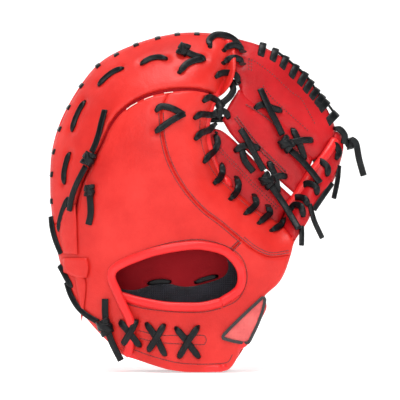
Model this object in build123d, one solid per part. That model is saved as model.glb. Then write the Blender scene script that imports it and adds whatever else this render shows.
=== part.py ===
from build123d import *
import math
import os

# First baseman's mitt for the left hand, standing on its heel with the fingertips up.
# X runs across the back of the hand towards the thumb, Y runs from the back of the hand
# through to the pocket, Z runs up from the heel.  Lengths are in millimetres.

os.makedirs("parts", exist_ok=True)

# ---------------------------------------------------------------- driving dimensions
BOWL_CENTRE_X = -5.0      # middle of the pocket
BOWL_CENTRE_Z = 165.0
BOWL_HALF_WIDTH = 150.0
BOWL_REACH_UP = 165.0     # pocket centre to fingertips
BOWL_REACH_DOWN = 420.0   # the bowl runs out almost flat towards the heel
POCKET_Y = 50.0           # palm leather at the pocket centre
POCKET_DEPTH = 30.0       # how far the rim stands in front of the pocket centre
HEEL_SWELL = 20.0         # how far the heel pads push the palm forward
HAND_ROOM = 37.0          # thickness that the hand takes up, over the bare edge
EDGE_THICKNESS = 7.0      # palm and back leather where they are laced together
LACED_TAPER = 14.0        # distance over which the body thins towards the web lacing
LEATHER = 3.0
LINING = 1.4
LINING_GAP = 5.4          # palm leather to palm lining, over the felt
FELT_GAP = 0.6            # palm leather to felt
FELT = 3.0
TRIM = 2.2                # thin leather of the tab and its keeper
LACE_WIDTH = 6.4
LACE_THICK = 2.6
WEB_INSET = 3.0           # the web hangs this far behind the rim of the pocket
WALL_REACH = 90.0         # deeper than any gap between the back and the palm
FLAP_LIFT = 1.0           # the little-finger flap lies over the strap
STRAP_SINK = 4.0          # the wrist strap passes this far under the little-finger flap
BINDING_RADIUS = 3.6      # rolled edge of the wrist opening
HEM_RADIUS = 3.1          # rolled bottom edge of the wrist strap
WELT_RADIUS = 3.4
FOLD_FOOT = Vector(42.0, 22.0, 0.0)     # the crease between thumb and fingers
FOLD_HEAD = Vector(22.0, 76.0, 320.0)
FOLD_HALF_GAP = 16.5      # degrees of palm left open each side of the crease
FOLD_SLIT = 0.8           # half width of the slit at the back of the crease
BODY_CENTRE = Vector(6.4, 44.4, 0.0)    # middle of the whole mitt, moved to the origin

# ---------------------------------------------------------------- outlines, as (x, z)
LEFT_EDGE = [(-131, 96), (-138, 121), (-142, 145), (-144, 174), (-142, 215), (-128, 254)]
TOP_EDGE = [(-128, 254), (-99, 295), (-62, 315), (-22, 325), (12, 325), (25, 322)]
COLUMN_EDGE = [(25, 322), (32, 311), (33, 299), (33, 288), (30, 278), (24, 269), (17, 264)]
INDEX_EDGE = [(17, 264), (12, 251), (8, 239), (6, 227), (8, 213), (13, 200), (20, 188), (31, 177)]
CROTCH_EDGE = [(31, 177), (49, 160), (61, 150), (77, 142)]
THUMB_INNER_EDGE = [(77, 142), (87, 161), (99, 179), (112, 201), (126, 216), (131, 230)]
THUMB_TIP = [(131, 230), (137, 227), (139, 214), (134, 195)]
THUMB_OUTER_EDGE = [(134, 195), (125, 178), (110, 159), (102, 143), (90, 125), (84, 109)]
THUMB_HEEL_EDGE = [(84, 109), (78, 92), (63, 75), (64, 59), (49, 36), (38, 25)]
HEEL_EDGE = [(38, 25), (32, 10), (26, 0)]
HEEL_FLAT = [(26, 0), (-28, 0)]
PINKY_HEEL_EDGE = [(-28, 0), (-52, 9), (-72, 16), (-89, 31), (-110, 52), (-123, 76), (-131, 96)]
BAND_INNER_EDGE = [
    (17, 267), (6, 270), (-10, 271.5), (-46, 266), (-71, 254), (-91, 226), (-110, 183), (-120, 150),
]
OPENING_TOP = [(-80, 93), (-72, 102), (-46, 111), (-15, 117), (10, 116), (30, 106)]
STRAP_TOP = [(-74, 74), (-50, 69), (-12, 66), (17, 70)]
STRAP_FLAT = [(17, 0), (-16, 0)]
STRAP_BOTTOM = [(-16, 0), (-30, 3), (-46, 8), (-60, 14), (-70, 16)]

PINKY_WALL_OUTER = [(-139, 126), (-131, 96), (-123, 76), (-110, 52), (-92, 34)]
PINKY_WALL_INNER = [(-90, 36), (-107.5, 53.5), (-120.5, 77.5), (-128.5, 97), (-136.5, 126)]
THUMB_WALL_OUTER = THUMB_OUTER_EDGE + [(78, 92), (63, 75)]
THUMB_WALL_INNER = [
    (61, 76.5), (75.5, 93.5), (81.5, 110), (87.5, 126),
    (99.5, 144.5), (107.5, 160.5), (122.5, 179), (132, 194),
]

# ---------------------------------------------------------------- surfaces


def reach(x, z):
    """How far a place is from the pocket centre, 1 at the rim."""
    across = (x - BOWL_CENTRE_X) / BOWL_HALF_WIDTH
    height = z - BOWL_CENTRE_Z
    up = height / (BOWL_REACH_UP if height > 0 else BOWL_REACH_DOWN)
    return math.hypot(across, up)


def smooth_step(value, start, end):
    share = min(1.0, max(0.0, (value - start) / (end - start)))
    return share * share * (3 - 2 * share)


def bowl_y(x, z):
    """The pocket surface without the heel pads."""
    return POCKET_Y + POCKET_DEPTH * reach(x, z) ** 3


def palm_y(x, z):
    """The outside of the palm leather."""
    return bowl_y(x, z) + HEEL_SWELL * (1 - smooth_step(z, 30, 110))


def distance_to_line(x, z, start, end):
    run = (end[0] - start[0], end[1] - start[1])
    length = math.hypot(*run)
    along = ((x - start[0]) * run[0] + (z - start[1]) * run[1]) / length
    along = min(length, max(0.0, along))
    return math.hypot(x - start[0] - along * run[0] / length, z - start[1] - along * run[1] / length)


def back_y(x, z):
    """The outside of the back leather, thinning to a laced edge along the web."""
    lines = (((31, 320), (9, 236)), ((9, 236), (77, 142)), ((77, 142), (131, 230)))
    nearest = min(distance_to_line(x, z, *line) for line in lines)
    fullness = 1 - math.exp(-nearest / LACED_TAPER)
    room = HAND_ROOM * max(0.0, 1 - reach(x, z) ** 4) * fullness
    return bowl_y(x, z) - EDGE_THICKNESS - room


def strap_y(x, z):
    """The outside of the wrist strap, dipping under the little-finger flap."""
    return back_y(x, z) + 0.5 + STRAP_SINK * (1 - smooth_step(x, -62, -20))


def web_y(x, z):
    return bowl_y(x, z) - WEB_INSET


def web_face(x, z):
    """The side of the web that faces the back of the hand."""
    return web_y(x, z) - LEATHER


# ---------------------------------------------------------------- building blocks


def slab(surface, shift, thickness, lows, highs, cells=14):
    """A curved sheet that follows surface over a rectangle, grown along +Y."""
    xs = [lows[0] + (highs[0] - lows[0]) * i / cells for i in range(cells + 1)]
    zs = [lows[1] + (highs[1] - lows[1]) * i / cells for i in range(cells + 1)]
    grid = [[Vector(x, surface(x, z) + shift, z) for x in xs] for z in zs]
    sheet = Face.make_surface_from_array_of_points(grid, tol=0.05)
    grown = Solid.extrude(sheet, Vector(0, thickness, 0))
    return Solid(Shell(grown.faces()))


def loop(*pieces):
    """A closed wire in the XZ plane from splines and straight runs that meet end to end."""
    edges = []
    for piece in pieces:
        points = [Vector(x, -60, z) for x, z in piece]
        edges.append(Spline(*points) if len(points) > 2 else Line(*points))
    starts = [pieces[0][0]] + [piece[-1] for piece in pieces]
    for before, after in zip(starts[1:], pieces[1:] + pieces[:1]):
        if before != after[0]:
            edges.append(Line(Vector(before[0], -60, before[1]), Vector(after[0][0], -60, after[0][1])))
    return Wire(edges)


def prism(*pieces):
    return Solid.extrude(Face(loop(*pieces)), Vector(0, 220, 0))


def panel(pieces, surface, shift, thickness):
    """Leather cut to an outline and shaped to a surface."""
    points = [point for piece in pieces for point in piece]
    lows = (min(p[0] for p in points) - 8, min(p[1] for p in points) - 8)
    highs = (max(p[0] for p in points) + 8, max(p[1] for p in points) + 8)
    return slab(surface, shift, thickness, lows, highs) & prism(*pieces)


def arch(start, end, rise, width=LACE_WIDTH, thick=LACE_THICK, lean=(0, -1, 0)):
    """A flat lace that leaves one hole, bows outwards by rise and enters the next."""
    start, end = Vector(*start), Vector(*end)
    middle = (start + end) / 2 + Vector(*lean) * rise
    path = ThreePointArc(start, middle, end)
    tangent = path % 0
    side = tangent.cross(end - start)
    if side.length < 1e-6:
        side = tangent.cross(Vector(*lean))
    section = Plane(origin=start, x_dir=side.normalized(), z_dir=tangent)
    return sweep(section * Rectangle(width, thick), path=path)


def arches(surface, pairs, rise=4.0, sink=1.5):
    """Lace arches between pairs of holes, given as (x, z), on one surface."""
    made = []
    for (x0, z0), (x1, z1) in pairs:
        start = (x0, surface(x0, z0) + sink, z0)
        end = (x1, surface(x1, z1) + sink, z1)
        made.append(arch(start, end, rise + sink))
    return made


def edge_ticks(points, towards):
    """Lace turns over the rim: a flat block outside the edge at each (x, z)."""
    made = []
    for x, z in points:
        outward = Vector(x - towards[0], 0, z - towards[1]).normalized()
        depth = EDGE_THICKNESS + 2 * LACE_THICK
        middle = Vector(x, bowl_y(x, z) - EDGE_THICKNESS / 2, z) + outward * 0.6
        plane = Plane(origin=middle, x_dir=outward, z_dir=(0, 1, 0))
        made.append(plane * Box(4.6, LACE_WIDTH, depth))
    return made


def roll(points, radius):
    """A rolled leather edge: a round bar along a spline."""
    path = Spline(*[Vector(*point) for point in points])
    return sweep(Plane(origin=path @ 0, z_dir=path % 0) * Circle(radius), path=path)


def knot(x, y, z, size=13.0):
    """A tied lace, as a rounded lump."""
    lump = Pos(x, y, z) * Box(size, size * 0.62, size * 0.8)
    return fillet(lump.edges(), size * 0.2)


def free_end(route):
    """The free end of a flat lace: straight runs joined by tangent arcs."""
    points = [Vector(*point) for point in route]
    radii = []
    for before, here, after in zip(points, points[1:], points[2:]):
        turn = math.radians((here - before).get_angle(after - here))
        run = min((here - before).length, (after - here).length)
        radii.append(0.45 * run / math.tan(turn / 2))
    path = FilletPolyline(*points, radius=radii)
    flat = (points[1] - points[0]).cross(Vector(0, 1, 0)).normalized()
    section = Plane(origin=points[0], x_dir=flat, z_dir=path % 0)
    lace = sweep(section * Rectangle(LACE_WIDTH, LACE_THICK), path=path)
    print("free lace end", round(path.length, 1), "mm, radii", [round(r, 1) for r in radii])
    return lace


def over(surface, lift, points):
    """Route points that ride above a surface."""
    return [(x, surface(x, z) - lift, z) for x, z in points]


# ---------------------------------------------------------------- the crease


def fold_wedge():
    """The space that the crease needs: a slit at the back, a wide V at the pocket."""
    direction = (FOLD_HEAD - FOLD_FOOT).normalized()
    forward = (Vector(0, 1, 0) - direction * direction.Y).normalized()
    across = forward.cross(direction)
    far = 140.0
    spread = far * math.tan(math.radians(FOLD_HALF_GAP))
    plane = Plane(origin=FOLD_FOOT - direction * 40, x_dir=across, z_dir=direction)
    depth_sign = 1 if plane.y_dir.dot(forward) > 0 else -1
    outline = Polyline(
        (-FOLD_SLIT, -depth_sign * far),
        (FOLD_SLIT, -depth_sign * far),
        (FOLD_SLIT, 0),
        (FOLD_SLIT + spread, depth_sign * far),
        (-FOLD_SLIT - spread, depth_sign * far),
        (-FOLD_SLIT, 0),
        close=True,
    )
    return Solid.extrude(Face(Wire(plane * outline)), direction * 420)


FOLD_WEDGE = fold_wedge()


def crease_x(z):
    """Where the crease stands at a height."""
    return FOLD_FOOT.X + (FOLD_HEAD.X - FOLD_FOOT.X) * z / FOLD_HEAD.Z


def finger_part(shape):
    """What lies on the finger side of the crease."""
    return keep_side(shape, -1)


def thumb_part(shape):
    """What lies on the thumb side of the crease."""
    return keep_side(shape, 1)


def keep_side(shape, side):
    cut = shape - FOLD_WEDGE
    kept = []
    for solid in cut.solids():
        centre = solid.center()
        if side * (centre.X - crease_x(centre.Z)) > 0:
            kept.append(solid)
    return kept


# ---------------------------------------------------------------- finger side


def finger_outline():
    return [
        LEFT_EDGE, TOP_EDGE, COLUMN_EDGE, INDEX_EDGE, CROTCH_EDGE,
        [(77, 142), (84, 109)], THUMB_HEEL_EDGE, HEEL_EDGE, HEEL_FLAT, PINKY_HEEL_EDGE,
    ]


def finger_back_panel():
    end = [(-120, 150), (-141, 140)]
    outer = [(-141, 140), (-144, 174), (-142, 215), (-128, 254)]
    inner = [(17, 264), (17, 267)]
    return panel([outer, TOP_EDGE, COLUMN_EDGE, inner, BAND_INNER_EDGE, end], back_y, 0, LEATHER)


def hand_back_panel():
    pieces = [
        [(-121, 148), (-112, 180), (-92, 222), (-70, 250), (-46, 260), (-33, 264)],
        [(-33, 264), (-36, 224), (-15, 175), (18, 143), (33, 128)],
        [(33, 128), (27, 115)],
        [(27, 115), (10, 122), (-15, 123), (-46, 117), (-76, 107), (-85, 97)],
        [(-85, 97), (-131, 97)],
        [(-131, 97), (-137, 121), (-140, 139)],
        [(-140, 139), (-121, 148)],
    ]
    return panel(pieces, back_y, 0, LEATHER)


def index_back_panel():
    pieces = [
        [(-31, 264), (-10, 267), (6, 266), INDEX_EDGE[0]],
        INDEX_EDGE,
        [(31, 177), (34, 128)],
        [(34, 128), (18, 145), (-13, 176), (-34, 224), (-31, 264)],
    ]
    return finger_part(panel(pieces, back_y, 0, LEATHER))


def pinky_heel_panel():
    pieces = [
        [(-131, 95), (-86, 95)],
        [(-86, 95), (-77, 74), (-68, 50), (-68, 30), (-73, 17)],
        [(-73, 17), (-89, 31), (-110, 52), (-123, 76), (-131, 95)],
    ]
    return panel(pieces, back_y, -FLAP_LIFT, LEATHER)


def palm_finger_side():
    return finger_part(panel(finger_outline(), palm_y, -LEATHER, LEATHER))


def inner_finger_outline():
    return [
        [(-118, 88), (-128, 130), (-131, 174), (-128, 212), (-116, 248)],
        [(-116, 248), (-90, 284), (-56, 302), (-20, 311), (8, 311)],
        [(8, 311), (16, 300), (6, 272), (-4, 250), (-8, 230), (-2, 208), (10, 182), (31, 160)],
        [(31, 160), (40, 30), (26, 14), (-30, 12)],
        [(-30, 12), (-70, 30), (-100, 58), (-118, 88)],
    ]


def palm_lining_finger_side():
    return finger_part(panel(inner_finger_outline(), bowl_y, -LEATHER - LINING_GAP, LINING))


def finger_pad():
    pieces = [
        [(-122, 150), (-124, 200), (-108, 248), (-60, 290), (-14, 300)],
        [(-14, 300), (-6, 296), (-18, 262), (-22, 228), (-60, 190), (-122, 150)],
    ]
    return panel(pieces, bowl_y, -LEATHER - FELT_GAP - FELT, FELT)


def heel_pad(pieces, lows, highs):
    """Felt that fills the swell of the heel, behind the palm leather."""
    swell = slab(bowl_y, -LEATHER - FELT_GAP - FELT, HEEL_SWELL, lows, highs)
    behind_palm = slab(palm_y, -LEATHER - FELT_GAP - WALL_REACH, WALL_REACH, lows, highs)
    return swell & prism(*pieces) & behind_palm


def heel_pad_pinky():
    pieces = [
        [(-108, 86), (-70, 104), (-20, 84)],
        [(-20, 84), (-14, 50), (-22, 16)],
        [(-22, 16), (-70, 34), (-108, 86)],
    ]
    return heel_pad(pieces, (-120, 8), (0, 112))


def hand_back_lining():
    pieces = [
        [(-118, 112), (-122, 150), (-112, 186), (-92, 220), (-70, 244), (-42, 252)],
        [(-42, 252), (-44, 222), (-22, 172), (14, 136), (14, 126)],
        [(14, 126), (-15, 129), (-50, 123), (-90, 108), (-118, 112)],
    ]
    return panel(pieces, back_y, LEATHER + 0.4, LINING)


def finger_dividers():
    """Three leather walls between the four finger stalls."""
    feet = ((-86, 190, -104, 262), (-52, 200, -62, 292), (-16, 206, -18, 300))
    walls = []
    for x0, z0, x1, z1 in feet:
        run = Vector(x1 - x0, 0, z1 - z0)
        side = Vector(0, 1, 0).cross(run).normalized() * (LINING / 2)
        corners = [(x0, z0), (x1, z1)]
        front = [Vector(x, back_y(x, z) + LEATHER + 2.4, z) for x, z in corners]
        rear = [Vector(x, bowl_y(x, z) - LEATHER - 11, z) for x, z in corners]
        face = Face(Wire(Polyline(front[0], front[1], rear[1], rear[0], close=True)))
        walls.append(Solid.extrude(face.moved(Location(side * -1)), side * 2))
    return walls


def side_wall(outer, inner):
    """Leather that closes the gap between the back and the palm along an outer edge."""
    points = outer + inner
    lows = (min(p[0] for p in points) - 8, min(p[1] for p in points) - 8)
    highs = (max(p[0] for p in points) + 8, max(p[1] for p in points) + 8)
    strip = prism(outer, [outer[-1], inner[0]], inner, [inner[-1], outer[0]])
    behind_back = slab(back_y, LEATHER, WALL_REACH, lows, highs)
    before_palm = slab(palm_y, -LEATHER - WALL_REACH, WALL_REACH, lows, highs)
    return strip & behind_back & before_palm


def pinky_side_wall():
    return side_wall(PINKY_WALL_OUTER, PINKY_WALL_INNER)


def wrist_opening_binding():
    points = [(x, back_y(x, z) + 0.5, z) for x, z in OPENING_TOP]
    return roll(points, BINDING_RADIUS)


def pinky_tab():
    pieces = [
        [(-120, 160), (-118, 144), (-116, 120), (-114, 112)],
        [(-114, 112), (-129, 116)],
        [(-129, 116), (-133, 132), (-133, 139), (-128, 150), (-120, 160)],
    ]
    return panel(pieces, back_y, -2.6, TRIM)


def pinky_loop():
    pieces = [
        [(-131, 91), (-108, 91)],
        [(-108, 91), (-108, 106)],
        [(-108, 106), (-131, 106)],
        [(-131, 106), (-131, 91)],
    ]
    return panel(pieces, back_y, -3.6, TRIM)


def finger_edge_lace():
    places = [
        (-3, 325), (-22, 325), (-41, 322), (-62, 315), (-81, 306), (-99, 295), (-115, 277), (-128, 254),
        (-137, 233), (-142, 211), (-144, 189), (-144, 163), (-142, 145),
    ]
    return edge_ticks(places, (BOWL_CENTRE_X, BOWL_CENTRE_Z))


def finger_dash_lace():
    pairs = [
        ((-54, 297), (-34, 301)), ((-96, 277), (-76, 291)),
        ((-122, 233), (-113, 258)), ((-130, 183), (-126, 208)),
    ]
    return arches(back_y, pairs, rise=3.0)


def finger_top_lace():
    made = arches(back_y, [((3, 300), (-21, 309)), ((3, 300), (-19, 288))], rise=4.0)
    return made[:1] + [knot(-14, back_y(-14, 306) - 6, 306, 11)]


def back_seam_lace():
    return arches(back_y, [((-41, 250), (-16, 247)), ((-40, 229), (-19, 244))], rise=3.0)


def left_edge_lace():
    spots = [
        ((-128, 164), (-134, 141)), ((-134, 122), (-129, 110)),
        ((-130, 95), (-118, 70)), ((-116, 68), (-92, 44)),
    ]
    return arches(back_y, spots, rise=3.5)


def pinky_lace_knot():
    return [knot(-106, back_y(-106, 203) - 4.5, 203, 12)]


def pinky_short_lace():
    lower = over(back_y, 2.6, [(-105, 168), (-106, 155), (-105, 142)])
    return [knot(-105, back_y(-105, 173) - 3.4, 173, 10), free_strip(lower)]


def free_strip(points):
    """A short lace tail, too short to hang: a flat bar along three points."""
    path = ThreePointArc(*[Vector(*point) for point in points])
    flat = (Vector(*points[2]) - Vector(*points[0])).cross(Vector(0, 1, 0)).normalized()
    section = Plane(origin=path @ 0, x_dir=flat, z_dir=path % 0)
    return sweep(section * Rectangle(LACE_WIDTH, LACE_THICK), path=path)


def heel_lace():
    wrap = knot(-90, back_y(-90, 45) - 5, 45, 13)
    upper = over(back_y, 5.0, [(-91, 52), (-91, 61), (-91, 70)])
    lower = over(back_y, 5.0, [(-87, 38), (-81, 24), (-77, 13)])
    return [wrap, free_strip(upper), free_strip(lower)]


COLUMN_HOLES = [
    ((12, 321), (24, 323)), ((23, 308), (31, 311)), ((23, 296), (31, 299)), ((16, 283), (24, 286)),
    ((4, 259), (12, 260)), ((-3, 244), (8, 246)), ((-4, 224), (3, 229)),
    ((3, 200), (9, 210)), ((14, 181), (18, 189)),
]


def finger_web_column_lace():
    return arches(back_y, COLUMN_HOLES, rise=3.5)


def column_welt():
    points = [(26, 317), (28, 302), (22, 284), (13, 266), (7, 248), (3, 230), (7, 211), (16, 191), (25, 180)]
    return roll([(x, back_y(x, z) - WELT_RADIUS, z) for x, z in points], WELT_RADIUS)


# ---------------------------------------------------------------- thumb side


def crotch_back_panel():
    pieces = [
        CROTCH_EDGE,
        [(77, 142), (90, 126)],
        [(90, 126), (85, 111)],
        [(85, 111), (68, 111), (53, 117), (34, 130)],
        [(34, 130), (31, 177)],
    ]
    return thumb_part(panel(pieces, back_y, 0, LEATHER))


def thumb_heel_panel():
    pieces = [
        [(30.5, 112.5), (37.5, 124.5), (53, 114), (68, 109), (84, 108)],
        [(84, 108)] + THUMB_HEEL_EDGE[1:],
        [(38, 25), (32, 11), (25, 3), (20, 2)],
        [(20, 2), (20, 70)],
        [(20, 70), (33, 78), (40, 93), (38, 105), (30.5, 112.5)],
    ]
    return panel(pieces, back_y, 0, LEATHER)


def thumb_outer_panel():
    pieces = [THUMB_INNER_EDGE, THUMB_TIP, THUMB_OUTER_EDGE[:-1], [(90, 125), (77, 142)]]
    return panel(pieces, back_y, 0, LEATHER)


def palm_thumb_side():
    pieces = [
        CROTCH_EDGE, THUMB_INNER_EDGE, THUMB_TIP, THUMB_OUTER_EDGE, THUMB_HEEL_EDGE,
        [(38, 25), (33, 14), (30, 12)], [(30, 12), (31, 177)],
    ]
    return thumb_part(panel(pieces, palm_y, -LEATHER, LEATHER))


def palm_lining_thumb_side():
    pieces = [
        [(34, 160), (50, 148), (74, 132), (90, 150), (110, 182), (122, 200)],
        [(122, 200), (124, 190), (98, 152), (80, 116), (62, 84), (54, 50), (40, 34)],
        [(40, 34), (34, 160)],
    ]
    return thumb_part(panel(pieces, bowl_y, -LEATHER - LINING_GAP, LINING))


def thumb_side_wall():
    return side_wall(THUMB_WALL_OUTER, THUMB_WALL_INNER)


def thumb_pad():
    pieces = [
        [(84, 132), (96, 156), (116, 190), (124, 204)],
        [(124, 204), (124, 188), (100, 150), (84, 122)],
        [(84, 122), (84, 132)],
    ]
    return panel(pieces, bowl_y, -LEATHER - FELT_GAP - FELT, FELT)


def heel_pad_thumb():
    pieces = [
        [(54, 98), (70, 90), (58, 72)],
        [(58, 72), (56, 56), (50, 44)],
        [(50, 44), (54, 98)],
    ]
    return heel_pad(pieces, (30, 30), (90, 110))


def crotch_lace():
    pairs = [((41, 179), (37, 169)), ((53, 165), (46, 154)), ((67, 155), (57, 144)), ((78, 142), (70, 137))]
    return arches(back_y, pairs, rise=3.5)


def web_top_panel():
    pieces = [
        [(41, 320), (66, 311), (102, 285), (122, 254), (131, 234)],
        [(131, 234), (119, 218), (105, 207)],
        [(105, 207), (76, 250), (54, 258), (37, 280)],
        [(37, 280), (41, 320)],
    ]
    return panel(pieces, web_y, -LEATHER, LEATHER)


def web_middle_bar():
    pieces = [
        [(38, 264), (54, 254), (72, 245), (103, 203)],
        [(103, 203), (88, 173)],
        [(88, 173), (24, 241)],
        [(24, 241), (38, 264)],
    ]
    return panel(pieces, web_y, -LEATHER, LEATHER)


def thumb_crotch_strip():
    pieces = [
        [(22, 234), (86, 169)],
        [(86, 169), (78, 147)],
        [(78, 147), (52, 164), (37, 179), (24, 195), (17, 213), (22, 234)],
    ]
    return panel(pieces, web_y, -LEATHER, LEATHER)


WHIP_INNER = [
    (58, 301), (69, 296), (78, 289), (87, 281), (95, 274), (100, 266), (106, 261), (111, 255), (115, 250),
]


def web_whip_lace():
    """Laces whipped over the outer edge of the web."""
    made = []
    for x, z in WHIP_INNER:
        outward = Vector(x - 40, 0, z - 230).normalized()
        start = Vector(x, web_y(x, z) - LEATHER + 1, z)
        end = start + outward * 11
        made.append(arch(tuple(start), tuple(end), 3.5, width=5.4))
    return made


def web_cross_ties():
    pairs = [((88, 232), (100, 206)), ((84, 222), (107, 219)), ((67, 199), (82, 184)), ((70, 186), (84, 200))]
    return arches(web_face, pairs, rise=3.0)


def web_upper_knot():
    return [knot(82, web_face(82, 219) - 9, 219, 12)]


def web_lower_knot():
    return [knot(64, web_face(64, 185) - 9, 185, 12)]


def thumb_edge_lace():
    pairs = [((112, 195), (122, 187)), ((102, 181), (110, 170)), ((126, 212), (130, 204))]
    return arches(back_y, pairs, rise=4.0)


def thumb_tip_lace():
    tip = Vector(141, bowl_y(139, 220) - 4, 220)
    tail = over(bowl_y, 8.0, [(148, 215), (154, 202), (157, 190)])
    return [knot(tip.X, tip.Y, tip.Z, 11), free_strip(tail)]


def thumb_lace_tails():
    routes = [
        [(133, 196), (130, 182), (128, 168)],
        [(126, 180), (118, 168), (110, 157)],
        [(107, 160), (112, 146), (115, 130)],
    ]
    return [free_strip(over(back_y, 7.0, route)) for route in routes]


def thumb_edge_welt():
    points = [(90, 160), (101, 176), (112, 193), (124, 208), (131, 221)]
    return roll([(x, back_y(x, z) - WELT_RADIUS, z) for x, z in points], WELT_RADIUS)


def emblem_patch():
    """A plain three-cornered patch sewn to the heel of the thumb."""
    pieces = [[(21, 35), (61, 72)], [(61, 72), (58, 55), (46, 30)], [(46, 30), (21, 35)]]
    return slab(back_y, -1.8, 1.4, (10, 20), (70, 80)) & prism(*pieces)


# ---------------------------------------------------------------- wrist strap


def strap_pieces(inset):
    return [
        [(x, z - inset) for x, z in STRAP_TOP],
        [(x, z + inset) for x, z in STRAP_FLAT],
        [(x, z + inset) for x, z in STRAP_BOTTOM],
        [(-70, 16 + inset), (-78, 45), (-74, 74 - inset)],
    ]


def wrist_strap_outer():
    return panel(strap_pieces(0), strap_y, 0, LEATHER)


def wrist_strap_pad():
    return panel(strap_pieces(4), strap_y, LEATHER + 0.3, 4.0)


def strap_top_binding():
    return roll([(x, strap_y(x, z) + 0.8, z + 1) for x, z in STRAP_TOP], BINDING_RADIUS)


def strap_bottom_binding():
    places = [STRAP_FLAT[0], (0, 0)] + STRAP_BOTTOM
    return roll([(x, strap_y(x, z) + HEM_RADIUS, z + HEM_RADIUS + 0.6) for x, z in places], HEM_RADIUS)


def adjuster_lace():
    pairs = []
    for x in (-42, -13):
        pairs += [((x - 8, 44), (x + 8, 19)), ((x + 7, 43), (x - 7, 19))]
    return arches(strap_y, pairs, rise=3.0)


def flap_lace():
    return arches(lambda x, z: back_y(x, z) - 1, [((-77, 48), (-71, 28))], rise=3.0)


# ---------------------------------------------------------------- free lace ends

FREE_ENDS = {
    "pinky_lace_upper_end": [
        (-103, 21.2, 210), (-99, 21.2, 219), (-96, 22.5, 229), (-94, 25, 239), (-91, 28.1, 250),
    ],
    "pinky_lace_lower_end": [
        (-109, 20.3, 196), (-114, 22.4, 187), (-119, 25.2, 177), (-123, 28.1, 166), (-125, 29.9, 154),
    ],
    "web_upper_lace_upper_end": [
        (79, 46.5, 227), (74, 45.5, 238), (68, 46, 249), (63, 48, 260), (58, 51.5, 271),
    ],
    "web_upper_lace_lower_end": [
        (87, 47, 212), (95, 45.5, 205), (102, 45.5, 197.5), (109, 44, 189), (115, 41, 181),
    ],
    "web_lower_lace_upper_end": [
        (61, 40.5, 193), (55, 39, 203), (50, 38.8, 213), (45, 39.6, 223), (39, 41.5, 232),
    ],
    "web_lower_lace_lower_end": [
        (68, 41, 178), (75, 40.5, 168), (82, 37.8, 158), (88, 32.8, 147), (94, 25.5, 137),
    ],
}

# ---------------------------------------------------------------- write the nodes

NODES = [
    finger_back_panel, hand_back_panel, index_back_panel, pinky_heel_panel, palm_finger_side,
    palm_lining_finger_side, finger_pad, heel_pad_pinky, hand_back_lining, finger_dividers,
    pinky_side_wall, wrist_opening_binding, pinky_tab, pinky_loop, finger_edge_lace, finger_dash_lace,
    finger_top_lace, back_seam_lace, left_edge_lace, pinky_lace_knot, pinky_short_lace,
    heel_lace, finger_web_column_lace, column_welt,
    crotch_back_panel, thumb_heel_panel, thumb_outer_panel, palm_thumb_side,
    palm_lining_thumb_side, thumb_side_wall, thumb_pad, heel_pad_thumb, crotch_lace, web_top_panel,
    web_middle_bar, thumb_crotch_strip, web_whip_lace, web_cross_ties, web_upper_knot,
    web_lower_knot, thumb_edge_lace, thumb_tip_lace, thumb_lace_tails, thumb_edge_welt,
    emblem_patch, wrist_strap_outer, wrist_strap_pad, strap_top_binding,
    strap_bottom_binding, adjuster_lace, flap_lace,
]


def write_node(name, made):
    """Moves a piece to the mitt's own origin and writes it as one STEP."""
    shapes = made if isinstance(made, list) else [made]
    solids = [solid for shape in shapes for solid in shape.solids()]
    placed = [solid.moved(Location(BODY_CENTRE * -1)) for solid in solids]
    whole = placed[0] if len(placed) == 1 else Compound(children=placed)
    export_step(whole, f"parts/{name}.step")


if __name__ == "__main__":
    for build in NODES:
        write_node(build.__name__, build())
    for name, route in FREE_ENDS.items():
        write_node(name, free_end(route))
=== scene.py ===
import math

import bpy
import numpy as np
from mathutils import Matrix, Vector, noise
from mathutils.geometry import delaunay_2d_cdt


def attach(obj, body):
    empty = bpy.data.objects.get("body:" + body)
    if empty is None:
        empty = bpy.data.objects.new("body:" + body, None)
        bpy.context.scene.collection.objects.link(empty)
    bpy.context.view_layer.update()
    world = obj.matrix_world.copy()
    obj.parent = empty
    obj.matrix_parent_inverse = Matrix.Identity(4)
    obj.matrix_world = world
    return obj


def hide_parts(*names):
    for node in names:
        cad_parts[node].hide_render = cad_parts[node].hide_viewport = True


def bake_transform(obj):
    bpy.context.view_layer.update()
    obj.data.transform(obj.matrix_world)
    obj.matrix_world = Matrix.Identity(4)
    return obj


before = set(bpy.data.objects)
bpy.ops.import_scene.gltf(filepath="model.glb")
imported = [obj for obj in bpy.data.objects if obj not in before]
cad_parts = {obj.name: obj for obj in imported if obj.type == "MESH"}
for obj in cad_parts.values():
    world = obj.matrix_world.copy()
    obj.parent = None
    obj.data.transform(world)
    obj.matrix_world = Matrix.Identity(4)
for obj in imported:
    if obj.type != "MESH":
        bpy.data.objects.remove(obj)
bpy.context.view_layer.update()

# All shapes are worked out in millimetres: x across the back of the hand towards the thumb,
# y from the back of the hand through to the pocket, z up from the heel.  BODY_CENTRE is where
# the shared frame has its origin, in those millimetres.
BODY_CENTRE = np.array((6.4, 44.4, 0.0))
BOWL_CENTRE = (-5.0, 165.0)
BOWL_HALF_WIDTH = 150.0
BOWL_REACH_UP = 165.0
BOWL_REACH_DOWN = 420.0
POCKET_Y = 50.0
POCKET_DEPTH = 30.0
HEEL_SWELL = 20.0
HAND_ROOM = 37.0
EDGE_THICKNESS = 7.0
LACED_TAPER = 14.0
WEB_FACE_DEPTH = 6.0
STRAP_SINK = 4.0
STRAP_SINK_X = (-66, -30)
HEEL_SWELL_Z = (30, 110)
PAD_DEPTH = 6.6
LINING_DEPTH = 8.4
SEAM_OVERLAP = 1.6
LEATHER = 2.8
HOLE_DEPTH = -3.4
HOLE_BEND = 2.0
HOLE_SQUEEZE = (2.5, 8.5)
LACE_WIDTH = 6.4
LACE_THICK = 2.4
MESH_STEP = 1.9

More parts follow.
